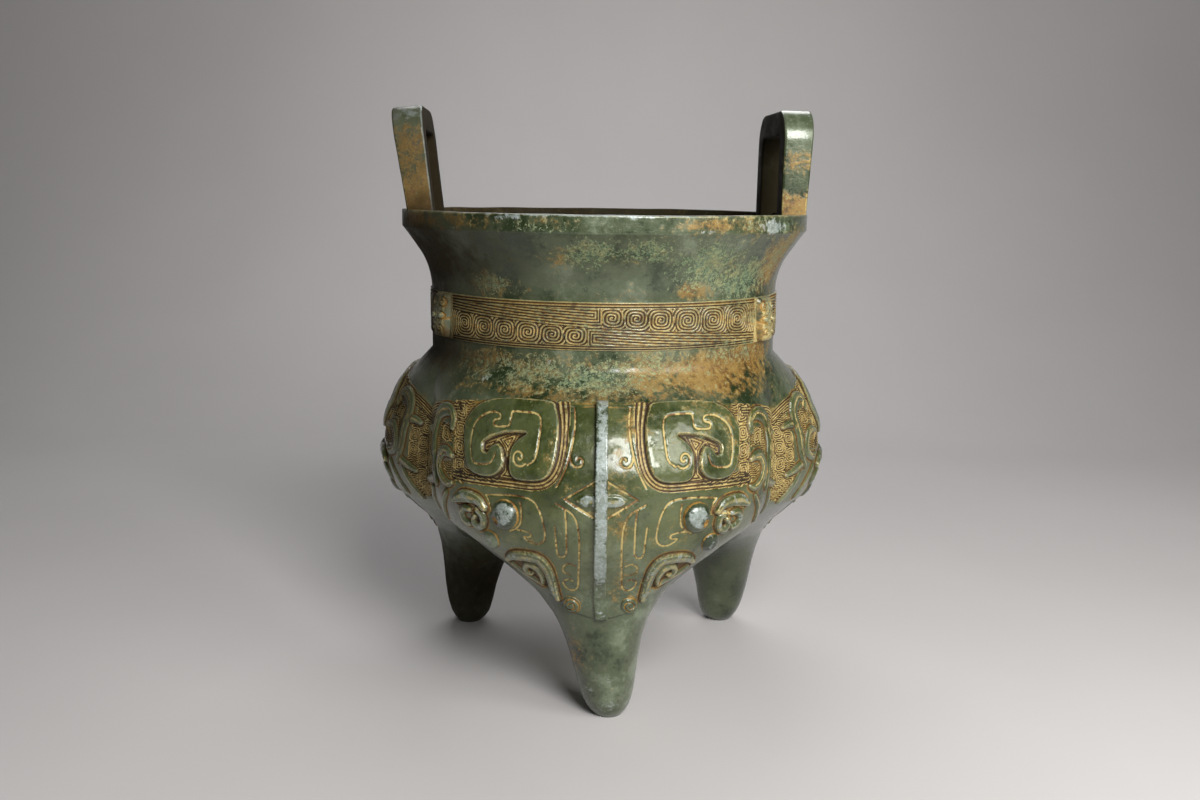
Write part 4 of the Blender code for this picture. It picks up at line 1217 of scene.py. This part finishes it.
class LI_OT_wind_frieze(bpy.types.Operator):
    """Winds the frieze of squared spirals and long hooked lines round the neck"""

    bl_idname = "li.wind_frieze"
    bl_label = "Wind frieze"
    bl_options = {"REGISTER", "UNDO"}

    def execute(self, context):
        """A ring whose radius is the neck's plus the lift. The lines stop short of the beast heads, and two
        border lines run above the field and two below."""
        sizes = context.scene.li_relief
        foot, head = BAND[0] - 0.4, BAND[1] + 0.4
        azimuth = np.linspace(0, 2 * math.pi, 1441)[:-1][None, :]
        height = np.linspace(foot, head, 63)[:, None]
        third = 2 * math.pi / 3
        along = ((azimuth + third / 2) % third - third / 2) * NECK_RADIUS
        along, height = np.broadcast_arrays(along, height)
        cut = frieze_cut(along, height, sizes.frieze_pitch / MM)
        for line in FRIEZE_BORDERS:
            cut = np.maximum(cut, groove_cut(height - line, 0.42))
        cut = cut * (1 - smoothstep(70.6, 71.6, np.abs(along)))
        skin = around_axis(azimuth, NECK_RADIUS, height)
        lift = BAND_LIFT + 0.13 + mottle(skin, 6.0, 1) * 0.05 - sizes.frieze_depth / MM * cut
        ends = between(foot, foot + 0.4, head - 0.4, head, height)
        front = around_axis(azimuth, NECK_RADIUS + lift * ends - 0.1 * (1 - ends), height)
        back = around_axis(azimuth, NECK_RADIUS + BAND_ROOT, np.linspace(head - 0.8, foot + 0.8, 3)[:, None])
        # Painted shade in the bottoms of the frieze's lines, and pale rubbed ridges, partly a painted
        # highlight
        points, marks = joined(front, back, {"earth": 0.28 + 0.7 * smoothstep(0.2, 0.5, cut),
                                             "deep": smoothstep(0.32, 0.66, cut),
                                             "rubbed": 0.75 * (1 - smoothstep(0.1, 0.4, cut))})
        quads = grid_faces(len(front) + len(back), azimuth.size, around=True, closed=True)
        new_piece("frieze", points, quads, marks=marks)
        return {"FINISHED"}


def head_relief(across, height):
    """A beast head on rows of half width and lift, boxed across: lift (1 - |u|^5), with two curled ears, two
    eyes, a groove down the forehead and one over the snout. Returns the place across, the level, the row's
    own lift and the depth of the lines, 0 to 1."""
    table = np.array(HEAD_ROWS)
    lift = np.interp(height, table[:, 0], table[:, 2])
    place = across * np.interp(height, table[:, 0], table[:, 1])
    level = lift * (1 - np.abs(across) ** 5)
    x = np.abs(place)
    cut = np.zeros(level.shape)
    for cx, cy, size, way in ((3.6, 163.4, 2.5, 1), (2.7, 152.8, 1.7, -1)):
        reach = np.hypot(x - cx, height - cy)
        wind = ripple(reach / 1.25 - way * np.arctan2(height - cy, x - cx) / (2 * math.pi))
        cut = np.maximum(cut, wind * (1 - smoothstep(size * 0.9, size * 1.15, reach)))
        level = level + 0.5 * (1 - smoothstep(0, size, reach))
    eye = np.hypot(x - 3.1, (height - 158.2) * 1.2)
    level = level + 0.9 * np.sqrt(np.clip(1 - (eye / 1.4) ** 2, 0, 1))
    cut = np.maximum(cut, groove_cut(eye - 1.8, 0.45))
    cut = np.maximum(cut, groove_cut(place, 0.45) * between(155, 156, 165, 166, height))
    cut = np.maximum(cut, groove_cut(height - 155.6 - 0.25 * x, 0.4) * smoothstep(0.6, 1.2, x))
    level = (level - 0.65 * cut) * (1 - smoothstep(0.985, 1.0, np.abs(across)))
    return place, level, lift, cut


class LI_OT_set_heads(bpy.types.Operator):
    """Sets the small beast heads that part the frieze above each groove"""

    bl_idname = "li.set_heads"
    bl_label = "Set heads"
    bl_options = {"REGISTER", "UNDO"}

    def execute(self, context):
        """The head stands on the neck's band as a slab whose back lies in the wall."""
        foot, head = BAND
        height = np.linspace(foot, head, 72)[:, None]
        across = np.linspace(-1, 1, 60)[None, :]
        place, level, lift, cut = head_relief(across, height)
        ends = between(foot, foot + 0.4, head - 0.4, head, height)
        reach = NECK_RADIUS + BAND_LIFT - 0.3 + np.maximum(level, 0) * (0.25 + 0.75 * ends)
        azimuth = place / NECK_RADIUS
        front = around_axis(azimuth, reach, height)
        pick, quads, triangles = slab_faces(*level.shape, 6)
        back = around_axis(azimuth[pick], NECK_RADIUS + BAND_ROOT, np.broadcast_to(height, level.shape)[pick])
        ratio = level / lift
        points, marks = joined(front, back, {
            "earth": np.clip(0.35 + 0.6 * cut - 0.3 * (level > lift * 0.9), 0, 1),
            "pale": 0.20 * (1 - cut) * smoothstep(0.75, 1.0, ratio),
            "rubbed": 0.75 * (1 - cut) * smoothstep(0.6, 0.95, ratio)})
        points = points + mottle(points, 1.8, 3)[:, None] * 0.05
        for number, turn_by in enumerate(LOBES.values()):
            placed = turned(points, math.radians(turn_by + 60))
            new_piece(f"head_{number + 1}", placed, quads, triangles, marks)
        return {"FINISHED"}


def handle_path():
    """The loop's outer line as columns of y, z, and of its normal's y and z: up one leg from the foot, round
    a quarter circle, along the top, and the same mirrored down the other leg."""
    top = RIM_HEIGHT + HANDLE_RISE
    corner = HANDLE_CORNER
    quarter = np.linspace(0, math.pi / 2, 18)[1:]
    rise = HANDLE_FOOT[0] + (top - corner - HANDLE_FOOT[0]) * np.linspace(0, 1, 42)
    leg = np.stack((np.full(42, HANDLE_HALF), rise, np.ones(42), np.zeros(42)), -1)
    bend = np.stack((HANDLE_HALF - corner + corner * np.cos(quarter), top - corner + corner * np.sin(quarter),
                     np.cos(quarter), np.sin(quarter)), -1)
    along = np.linspace(HANDLE_HALF - corner, 0, 22)[1:]
    bar = np.stack((along, np.full(21, top), np.zeros(21), np.ones(21)), -1)
    half = np.concatenate((leg, bend, bar))
    path = np.concatenate((half, (half * np.array((-1, 1, -1, 1)))[::-1][1:]))
    return (path[:, k][:, None] for k in range(4))


def rounded_square():
    """Corners of a unit square, each with the directions of a quarter circle about it: x, y, cos, sin."""
    corners = []
    for number, (x, y) in enumerate(((1, 0), (1, 1), (0, 1), (0, 0))):
        angle = np.linspace(0, math.pi / 2, 5) - math.pi / 2 + number * math.pi / 2
        corners.append(np.stack((np.full(5, x), np.full(5, y), np.cos(angle), np.sin(angle)), -1))
    return np.concatenate(corners)


def handle_marks(name, z, facing, across):
    """Wear of one handle, by the directions in which its section faces: rubbed arrises, painted shade given
    as soot on the faces inside the loop and toward the vessel's axis, and rust and bare metal on the side,
    each a soft
    band at its height: amount exp(-((z - at) / size)^2). The left handle has a painted highlight on its arris
    toward the axis, made pale like bare metal, and painted shade on its side as well."""
    left = name == "left"
    arris = np.abs(np.abs(facing) - np.abs(across)) < 0.75
    side = (across < -0.5) * np.ones_like(z)
    rust, bare = (side * sum(amount * np.exp(-((z - at) / size) ** 2) for at, size, amount in bands)
                  for bands in HANDLE_WEAR[name])
    # Painted shade, given as soot: the faces inside the loop and those toward the vessel's axis are darkened
    shade_and_soot_share = np.maximum(across > 0.3, facing < -0.8) * np.ones_like(z) * 0.85
    # Painted highlight: on the left handle the arris toward the axis is made pale like bare metal, and its
    # side gets painted shade
    marks = {"rubbed": 0.35 * arris * (across < 0) * np.ones_like(z), "patch": rust,
             "pale": np.maximum(bare, 0.5 * arris * (across < 0) * (facing < 0) * left),
             "grime": np.maximum(shade_and_soot_share, 0.22 * side * left)}
    return {key: np.append(values, (0, 0)) for key, values in marks.items()}


class LI_OT_bend_handles(bpy.types.Operator):
    """Bends the two upright loop handles out of a square bar and stands them on the lip"""

    bl_idname = "li.bend_handles"
    bl_label = "Bend handles"
    bl_options = {"REGISTER", "UNDO"}

    def execute(self, context):
        """An oblong section with rounded arrises (outward, inward) carried along the loop's line. The bar
        thickens toward the top, its feet are cut slanting where they stand in the lip, and the loop leans out
        about its foot: (x cos a + h sin a, h cos a - x sin a)."""
        y, z, normal_y, normal_z = handle_path()
        section = rounded_square()
        thin, thick = HANDLE_THICKNESS
        depth = thin + (thick - thin) * np.clip((z - RIM_HEIGHT) / HANDLE_RISE, 0, 1)
        cut = HANDLE_ARRIS
        out = section[:, 0] * (depth - 2 * cut) + cut + cut * section[:, 2]
        inward = section[:, 1] * (HANDLE_BAR - 2 * cut) + cut + cut * section[:, 3]
        bottom, foot = HANDLE_FOOT[0], HANDLE_FOOT[1] + 3
        slant = bottom + (HANDLE_FOOT[1] - bottom) * out / depth
        near_foot = slant + (foot - slant) * (z - bottom) / (foot - bottom)
        low = np.where(z < foot, near_foot, z - normal_z * inward)
        side, height = y - normal_y * inward, low - RIM_HEIGHT
        for name, about in (("right", 0.0), ("left", math.pi)):
            lean = HANDLE_LEANS[name]
            loop = np.stack((HANDLE_INNER + out * math.cos(lean) + height * math.sin(lean), side,
                             RIM_HEIGHT + height * math.cos(lean) - out * math.sin(lean)), -1)
            points, quads, caps = closed_tube(turned(loop, HANDLE_TURN + about))
            points = points + mottle(points, 6.0, 2)[:, None] * 0.06
            marks = handle_marks(name, z, section[:, 2], section[:, 3])
            new_piece(f"handle_{name}", points, quads, caps, marks, outward=True)
        return {"FINISHED"}


# ---------------------------------------------------------------- patina
def add_node(tree, kind, inputs=(), **settings):
    """New node with its settings; each input is linked if it is a socket and set if it is a value."""
    node = tree.nodes.new(kind)
    for key, value in settings.items():
        setattr(node, key, value)
    for key, value in dict(inputs).items():
        if isinstance(value, bpy.types.NodeSocket):
            tree.links.new(value, node.inputs[key])
        else:
            node.inputs[key].default_value = value
    return node


class Patina:
    """Short names for the nodes that a patina is mixed from."""

    def __init__(self, name):
        """Starts a material whose patterns read Object coordinates."""
        self.material = bpy.data.materials.new(name)
        self.material.use_nodes = True
        self.tree = self.material.node_tree
        self.shader = self.tree.nodes["Principled BSDF"]
        self.place = add_node(self.tree, "ShaderNodeTexCoord").outputs["Object"]

    def cloud(self, size, detail=4.0, roughness=0.6, distortion=0.0):
        """Noise whose blots are about the given size in millimetres."""
        node = add_node(self.tree, "ShaderNodeTexNoise", {
            "Vector": self.place, "Scale": 1.0 / (size * MM), "Detail": detail, "Roughness": roughness,
            "Distortion": distortion})
        return node.outputs["Fac"]

    def mark(self, name):
        """A mark on the mesh, 0 to 1."""
        return add_node(self.tree, "ShaderNodeAttribute", attribute_name=name).outputs["Fac"]

    def maths(self, operation, a, b=0.0):
        """Two sockets or values put through one operation."""
        return add_node(self.tree, "ShaderNodeMath", {0: a, 1: b}, operation=operation).outputs[0]

    def sum(self, *terms):
        """Sum of (socket, factor) pairs."""
        total = None
        for socket, factor in terms:
            part = self.maths("MULTIPLY", socket, factor)
            total = part if total is None else self.maths("ADD", total, part)
        return total

    def step(self, value, low, high):
        """0 below low and 1 above high, smooth between."""
        node = add_node(self.tree, "ShaderNodeMapRange", {"Value": value, "From Min": low, "From Max": high},
                        interpolation_type="SMOOTHSTEP")
        return node.outputs["Result"]

    def balance(self, marks, *clouds):
        """Sum of marks, each times its factor, and of clouds, which count from their middle value."""
        return self.maths("SUBTRACT", self.sum(*marks, *clouds), 0.5 * sum(factor for _, factor in clouds))

    def spots(self, low, high, marks, *clouds):
        """Share of a coat: the balance of marks and clouds, stepped from low to high."""
        return self.step(self.balance(marks, *clouds), low, high)

    def mix(self, share, a, b, strength=None):
        """Colour b over colour a. The share, times the strength if one is given, says how much of b."""
        if strength is not None:
            share = self.maths("MULTIPLY", share, strength)
        node = add_node(self.tree, "ShaderNodeMix", {0: share, 6: a, 7: b}, data_type="RGBA")
        return node.outputs[2]

    def give(self, **inputs):
        """Links sockets to the shader's inputs, or sets them. An underscore stands for a space."""
        for key, value in inputs.items():
            socket = self.shader.inputs[key.replace("_", " ")]
            if isinstance(value, bpy.types.NodeSocket):
                self.tree.links.new(value, socket)
            else:
                socket.default_value = value


def bronze_patina(colours):
    """Old bronze in coats: clouds of green, rubbed edges that are partly a painted highlight, rust and earth
    with soft borders, near-black painted shade at the bottom of the deepest hollows, crisp specks of
    verdigris, worn metal, and painted shade that stands partly for soot. Marks on the mesh say where each
    coat lies thickest."""
    p = Patina("old_bronze")
    broad = p.cloud(46, 3, 0.55)
    middle = p.cloud(12, 5, 0.6, 0.3)
    small = p.cloud(3.2, 5, 0.65)
    speck = p.cloud(1.5, 4, 0.7, 0.6)
    grain = p.cloud(0.7, 4, 0.65)
    crust = p.cloud(5.5, 7, 0.74, 0.9)
    earth, patch, deep, grime = (p.mark(name) for name in ("earth", "patch", "deep", "grime"))
    verdigris, rubbed, pale, gilt = (p.mark(name) for name in ("verdigris", "rubbed", "pale", "gilt"))
    tint = {name: tuple(getattr(colours, name)) for name in LiPatinaColours.__annotations__}

    # Greens, olive stain, and rubbed edges, which are partly a painted highlight
    tone = p.balance((), (broad, 0.45), (middle, 0.32), (small, 0.20), (speck, 0.12))
    base = p.mix(p.step(tone, -0.10, 0.01), tint["green_dark"], tint["green"])
    base = p.mix(p.step(tone, 0.00, 0.12), base, tint["green_pale"])
    stain = p.spots(0.55, 1.35, ((p.mark("olive"), 1.0),), (middle, 0.9), (crust, 0.9))
    base = p.mix(stain, base, tint["olive"], 0.72)
    edges = p.spots(0.3, 0.7, ((rubbed, 0.9),), (crust, 1.0), (small, 0.6))
    dry = p.spots(-0.12, 0.10, (), (small, 1.0), (grain, 0.6))
    base = p.mix(edges, base, p.mix(dry, tint["ochre_pale"], tint["green_pale"]), 0.7)

    # Rust and earth, in the hollows and in patches, with near-black painted shade at the bottom of the
    # deepest hollows
    light = p.spots(-0.16, 0.02, ((rubbed, 0.10),), (middle, 0.6), (small, 0.7), (speck, 0.8), (grain, 0.4))
    earths = p.mix(light, tint["rust"], tint["ochre"])
    dust = p.spots(0.06, 0.34, ((rubbed, 0.6),), (small, 0.6), (speck, 0.9), (grain, 0.5))
    earths = p.mix(dust, earths, tint["ochre_pale"])
    # Painted shade: the deep mark turns the earth nearly black
    earths = p.mix(deep, earths, tint["umber"], 0.97)
    hollows = p.spots(0.26, 0.58, ((earth, 1.0),), (middle, 0.8), (small, 0.6), (speck, 0.4))
    patches = p.spots(0.24, 0.58, ((patch, 1.0), (verdigris, 0.35)),
                      (crust, 1.3), (middle, 0.5), (small, 0.6), (speck, 0.6))
    coat = p.maths("MAXIMUM", hollows, p.maths("MULTIPLY", patches, 0.76))
    base = p.mix(coat, base, earths)

    # Dry earth in the engraved lines
    lines = p.spots(0.60, 0.78, ((gilt, 1.0),), (small, 0.3), (speck, 0.2))
    thread = p.spots(-0.12, 0.02, (), (middle, 0.8), (small, 0.8), (speck, 0.6))
    base = p.mix(lines, base, p.mix(thread, tint["rust"], tint["ochre_pale"]), 0.85)

    # Verdigris, worn metal, and painted shade given partly as soot, where the surface also reflects less
    bloom = p.spots(0.32, 0.44, ((verdigris, 1.0), (patch, 0.25)), (crust, 1.0), (speck, 1.2), (grain, 0.5))
    powder = p.spots(-0.06, 0.14, (), (grain, 1.0), (speck, 0.6))
    base = p.mix(bloom, base, p.mix(powder, tint["verdigris"], tint["verdigris_pale"]), 0.62)
    wear = p.spots(0.28, 0.46, ((pale, 1.0),), (crust, 1.0), (small, 0.8), (speck, 0.5))
    scale = p.spots(0.10, 0.36, ((pale, 0.3),), (small, 0.8), (grain, 0.8), (speck, 0.8))
    base = p.mix(wear, base, p.mix(scale, tint["worn"], tint["bare"]), 0.82)
    shade_and_soot_share = p.spots(0.05, 0.95, ((grime, 1.0),), (middle, 0.7), (small, 0.5), (speck, 0.3))
    base = p.mix(shade_and_soot_share, base, tint["grime"], 0.92)

    # Dull where a coat lies, and pitted
    dull = p.maths("MAXIMUM", p.maths("MAXIMUM", coat, bloom), p.maths("MAXIMUM", shade_and_soot_share, lines))
    rough = p.sum((dull, 0.26), (shade_and_soot_share, 0.30), (wear, 0.10), (small, 0.16), (middle, 0.12))
    pits = p.step(speck, 0.60, 0.70)
    height = p.sum((small, 0.45), (grain, 0.16), (crust, 0.40), (coat, 0.16), (bloom, 0.30), (wear, 0.12),
                   (pits, -0.25))
    bump = add_node(p.tree, "ShaderNodeBump", {"Height": height, "Strength": 0.55, "Distance": 0.0006})
    p.give(Base_Color=base, Normal=bump.outputs["Normal"], Metallic=0.15, Coat_Roughness=0.12,
           Roughness=p.maths("ADD", rough, 0.16),
           Coat_Weight=p.maths("MULTIPLY", p.maths("SUBTRACT", 1.0, dull), 0.62),
           Specular_IOR_Level=p.maths("SUBTRACT", 0.5, p.maths("MULTIPLY", shade_and_soot_share, 0.42)))


def plain_material(name, value, roughness):
    """Matt paper-like material with a faint cloud in its tone."""
    p = Patina(name)
    cloud = add_node(p.tree, "ShaderNodeTexNoise", {"Vector": p.place, "Scale": 6.0, "Detail": 4.0})
    dark = tuple(c * 0.9 for c in value[:3]) + (1.0,)
    p.give(Base_Color=p.mix(cloud.outputs["Fac"], dark, tuple(value)), Roughness=roughness)
    return p.material


# ---------------------------------------------------------------- stage
def lay_floor(colour_of_floor):
    """The floor runs back and rises through a quarter circle into a wall."""
    turn = np.linspace(0, math.pi / 2, 24)
    bend = np.stack((FLOOR_BACK + FLOOR_BEND * np.sin(turn), FLOOR_BEND - FLOOR_BEND * np.cos(turn)), -1)
    profile = np.concatenate((((FLOOR_FRONT, 0.0),), bend, ((FLOOR_BACK + FLOOR_BEND, WALL_TOP),)))
    across = np.linspace(-FLOOR_WIDTH / 2, FLOOR_WIDTH / 2, 9)
    grid = np.stack(np.broadcast_arrays(across[None, :], profile[:, :1], profile[:, 1:]), -1)
    mesh = bpy.data.meshes.new("floor")
    mesh.from_pydata((grid.reshape(-1, 3) * MM).tolist(), [], grid_faces(len(profile), 9).tolist())
    mesh.shade_smooth()
    floor = bpy.data.objects.new("floor", mesh)
    bpy.context.scene.collection.objects.link(floor)
    mesh.materials.append(plain_material("paper", tuple(colour_of_floor), 0.75))


def hang_light(name, place, size, watts, tint):
    """Oblong area light aimed at the vessel's middle. Places and sizes are in metres."""
    data = bpy.data.lights.new(name, "AREA")
    data.shape = "RECTANGLE"
    data.size, data.size_y = size
    data.energy = watts
    data.color = tint
    light = bpy.data.objects.new(name, data)
    light.location = place
    light.rotation_euler = (Vector((0.0, 0.0, 0.12)) - light.location).to_track_quat("-Z", "Y").to_euler()
    bpy.context.scene.collection.objects.link(light)


class LI_OT_set_stage(bpy.types.Operator):
    """Sets the floor with its backdrop, the soft lights and the camera"""

    bl_idname = "li.set_stage"
    bl_label = "Set stage"
    bl_options = {"REGISTER", "UNDO"}

    def execute(self, context):
        """The camera stands in front of the vessel, a little above its lip, and looks down at it."""
        scene = context.scene
        studio = scene.li_studio
        lay_floor(studio.floor_colour)
        hang_light("key", (0.44, -0.36, 0.40), (0.24, 0.34), studio.key_power, (1.0, 0.98, 0.94))
        hang_light("window", (0.22, -0.65, 0.53), (0.29, 0.37), studio.window_power, (1.0, 0.99, 0.97))
        hang_light("fill", (-1.2, -0.7, 0.5), (0.7, 0.9), studio.fill_power, (0.93, 0.96, 1.0))
        hang_light("back", (0.0, 0.62, 0.72), (0.6, 0.4), studio.back_power, (1.0, 1.0, 1.0))
        world = bpy.data.worlds.new("soft_room")
        world.use_nodes = True
        background = world.node_tree.nodes["Background"]
        background.inputs["Color"].default_value = (0.80, 0.82, 0.86, 1.0)
        background.inputs["Strength"].default_value = 0.025
        scene.world = world
        scene.view_settings.view_transform = "Standard"

        camera = bpy.data.objects.new("camera", bpy.data.cameras.new("camera"))
        camera.data.lens = 35.14
        camera.data.sensor_width = 36.0
        down = Matrix.Rotation(math.radians(90 - CAMERA_DOWN), 4, "X")
        roll = Matrix.Rotation(math.radians(CAMERA_ROLL), 4, "Z")
        camera.matrix_world = Matrix.Translation(CAMERA_PLACE) @ (down @ roll)
        scene.collection.objects.link(camera)
        scene.camera = camera
        return {"FINISHED"}


class LI_OT_mix_patina(bpy.types.Operator):
    """Mixes the bronze's patina, which every piece of the vessel wears"""

    bl_idname = "li.mix_patina"
    bl_label = "Mix patina"
    bl_options = {"REGISTER", "UNDO"}

    def execute(self, context):
        """The patina is one material, named old_bronze."""
        bronze_patina(context.scene.li_patina)
        return {"FINISHED"}


class LI_PT_vessel(bpy.types.Panel):
    """Lists the vessel's sizes, colours and building steps"""

    bl_idname = "LI_PT_vessel"
    bl_label = "Li Vessel"
    bl_space_type = "VIEW_3D"
    bl_region_type = "UI"
    bl_category = "Li Vessel"

    def draw(self, context):
        """A box for each group of values, then a button for each step."""
        for group in (context.scene.li_relief, context.scene.li_patina, context.scene.li_studio):
            box = self.layout.box()
            for key in group.bl_rna.properties.keys():
                if key not in ("rna_type", "name"):
                    box.prop(group, key)
        for step in STEPS:
            self.layout.operator(step.bl_idname)


STEPS = (LI_OT_mix_patina, LI_OT_cast_body, LI_OT_carve_masks, LI_OT_raise_flanges, LI_OT_set_bosses,
         LI_OT_wind_frieze, LI_OT_set_heads, LI_OT_bend_handles, LI_OT_set_stage)
GROUPS = {"li_relief": LiReliefSizes, "li_patina": LiPatinaColours, "li_studio": LiStudio}


def register():
    """Registers the classes, and adds the groups of values to the scene."""
    for kind in (*GROUPS.values(), *STEPS, LI_PT_vessel):
        bpy.utils.register_class(kind)
    for key, kind in GROUPS.items():
        setattr(bpy.types.Scene, key, bpy.props.PointerProperty(type=kind))


def unregister():
    """Takes away what register() added."""
    for key in GROUPS:
        delattr(bpy.types.Scene, key)
    for kind in reversed((*GROUPS.values(), *STEPS, LI_PT_vessel)):
        bpy.utils.unregister_class(kind)


def main():
    """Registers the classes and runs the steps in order."""
    register()
    for step in STEPS:
        group, name = step.bl_idname.split(".")
        getattr(getattr(bpy.ops, group), name)()


if __name__ == "__main__":
    main()
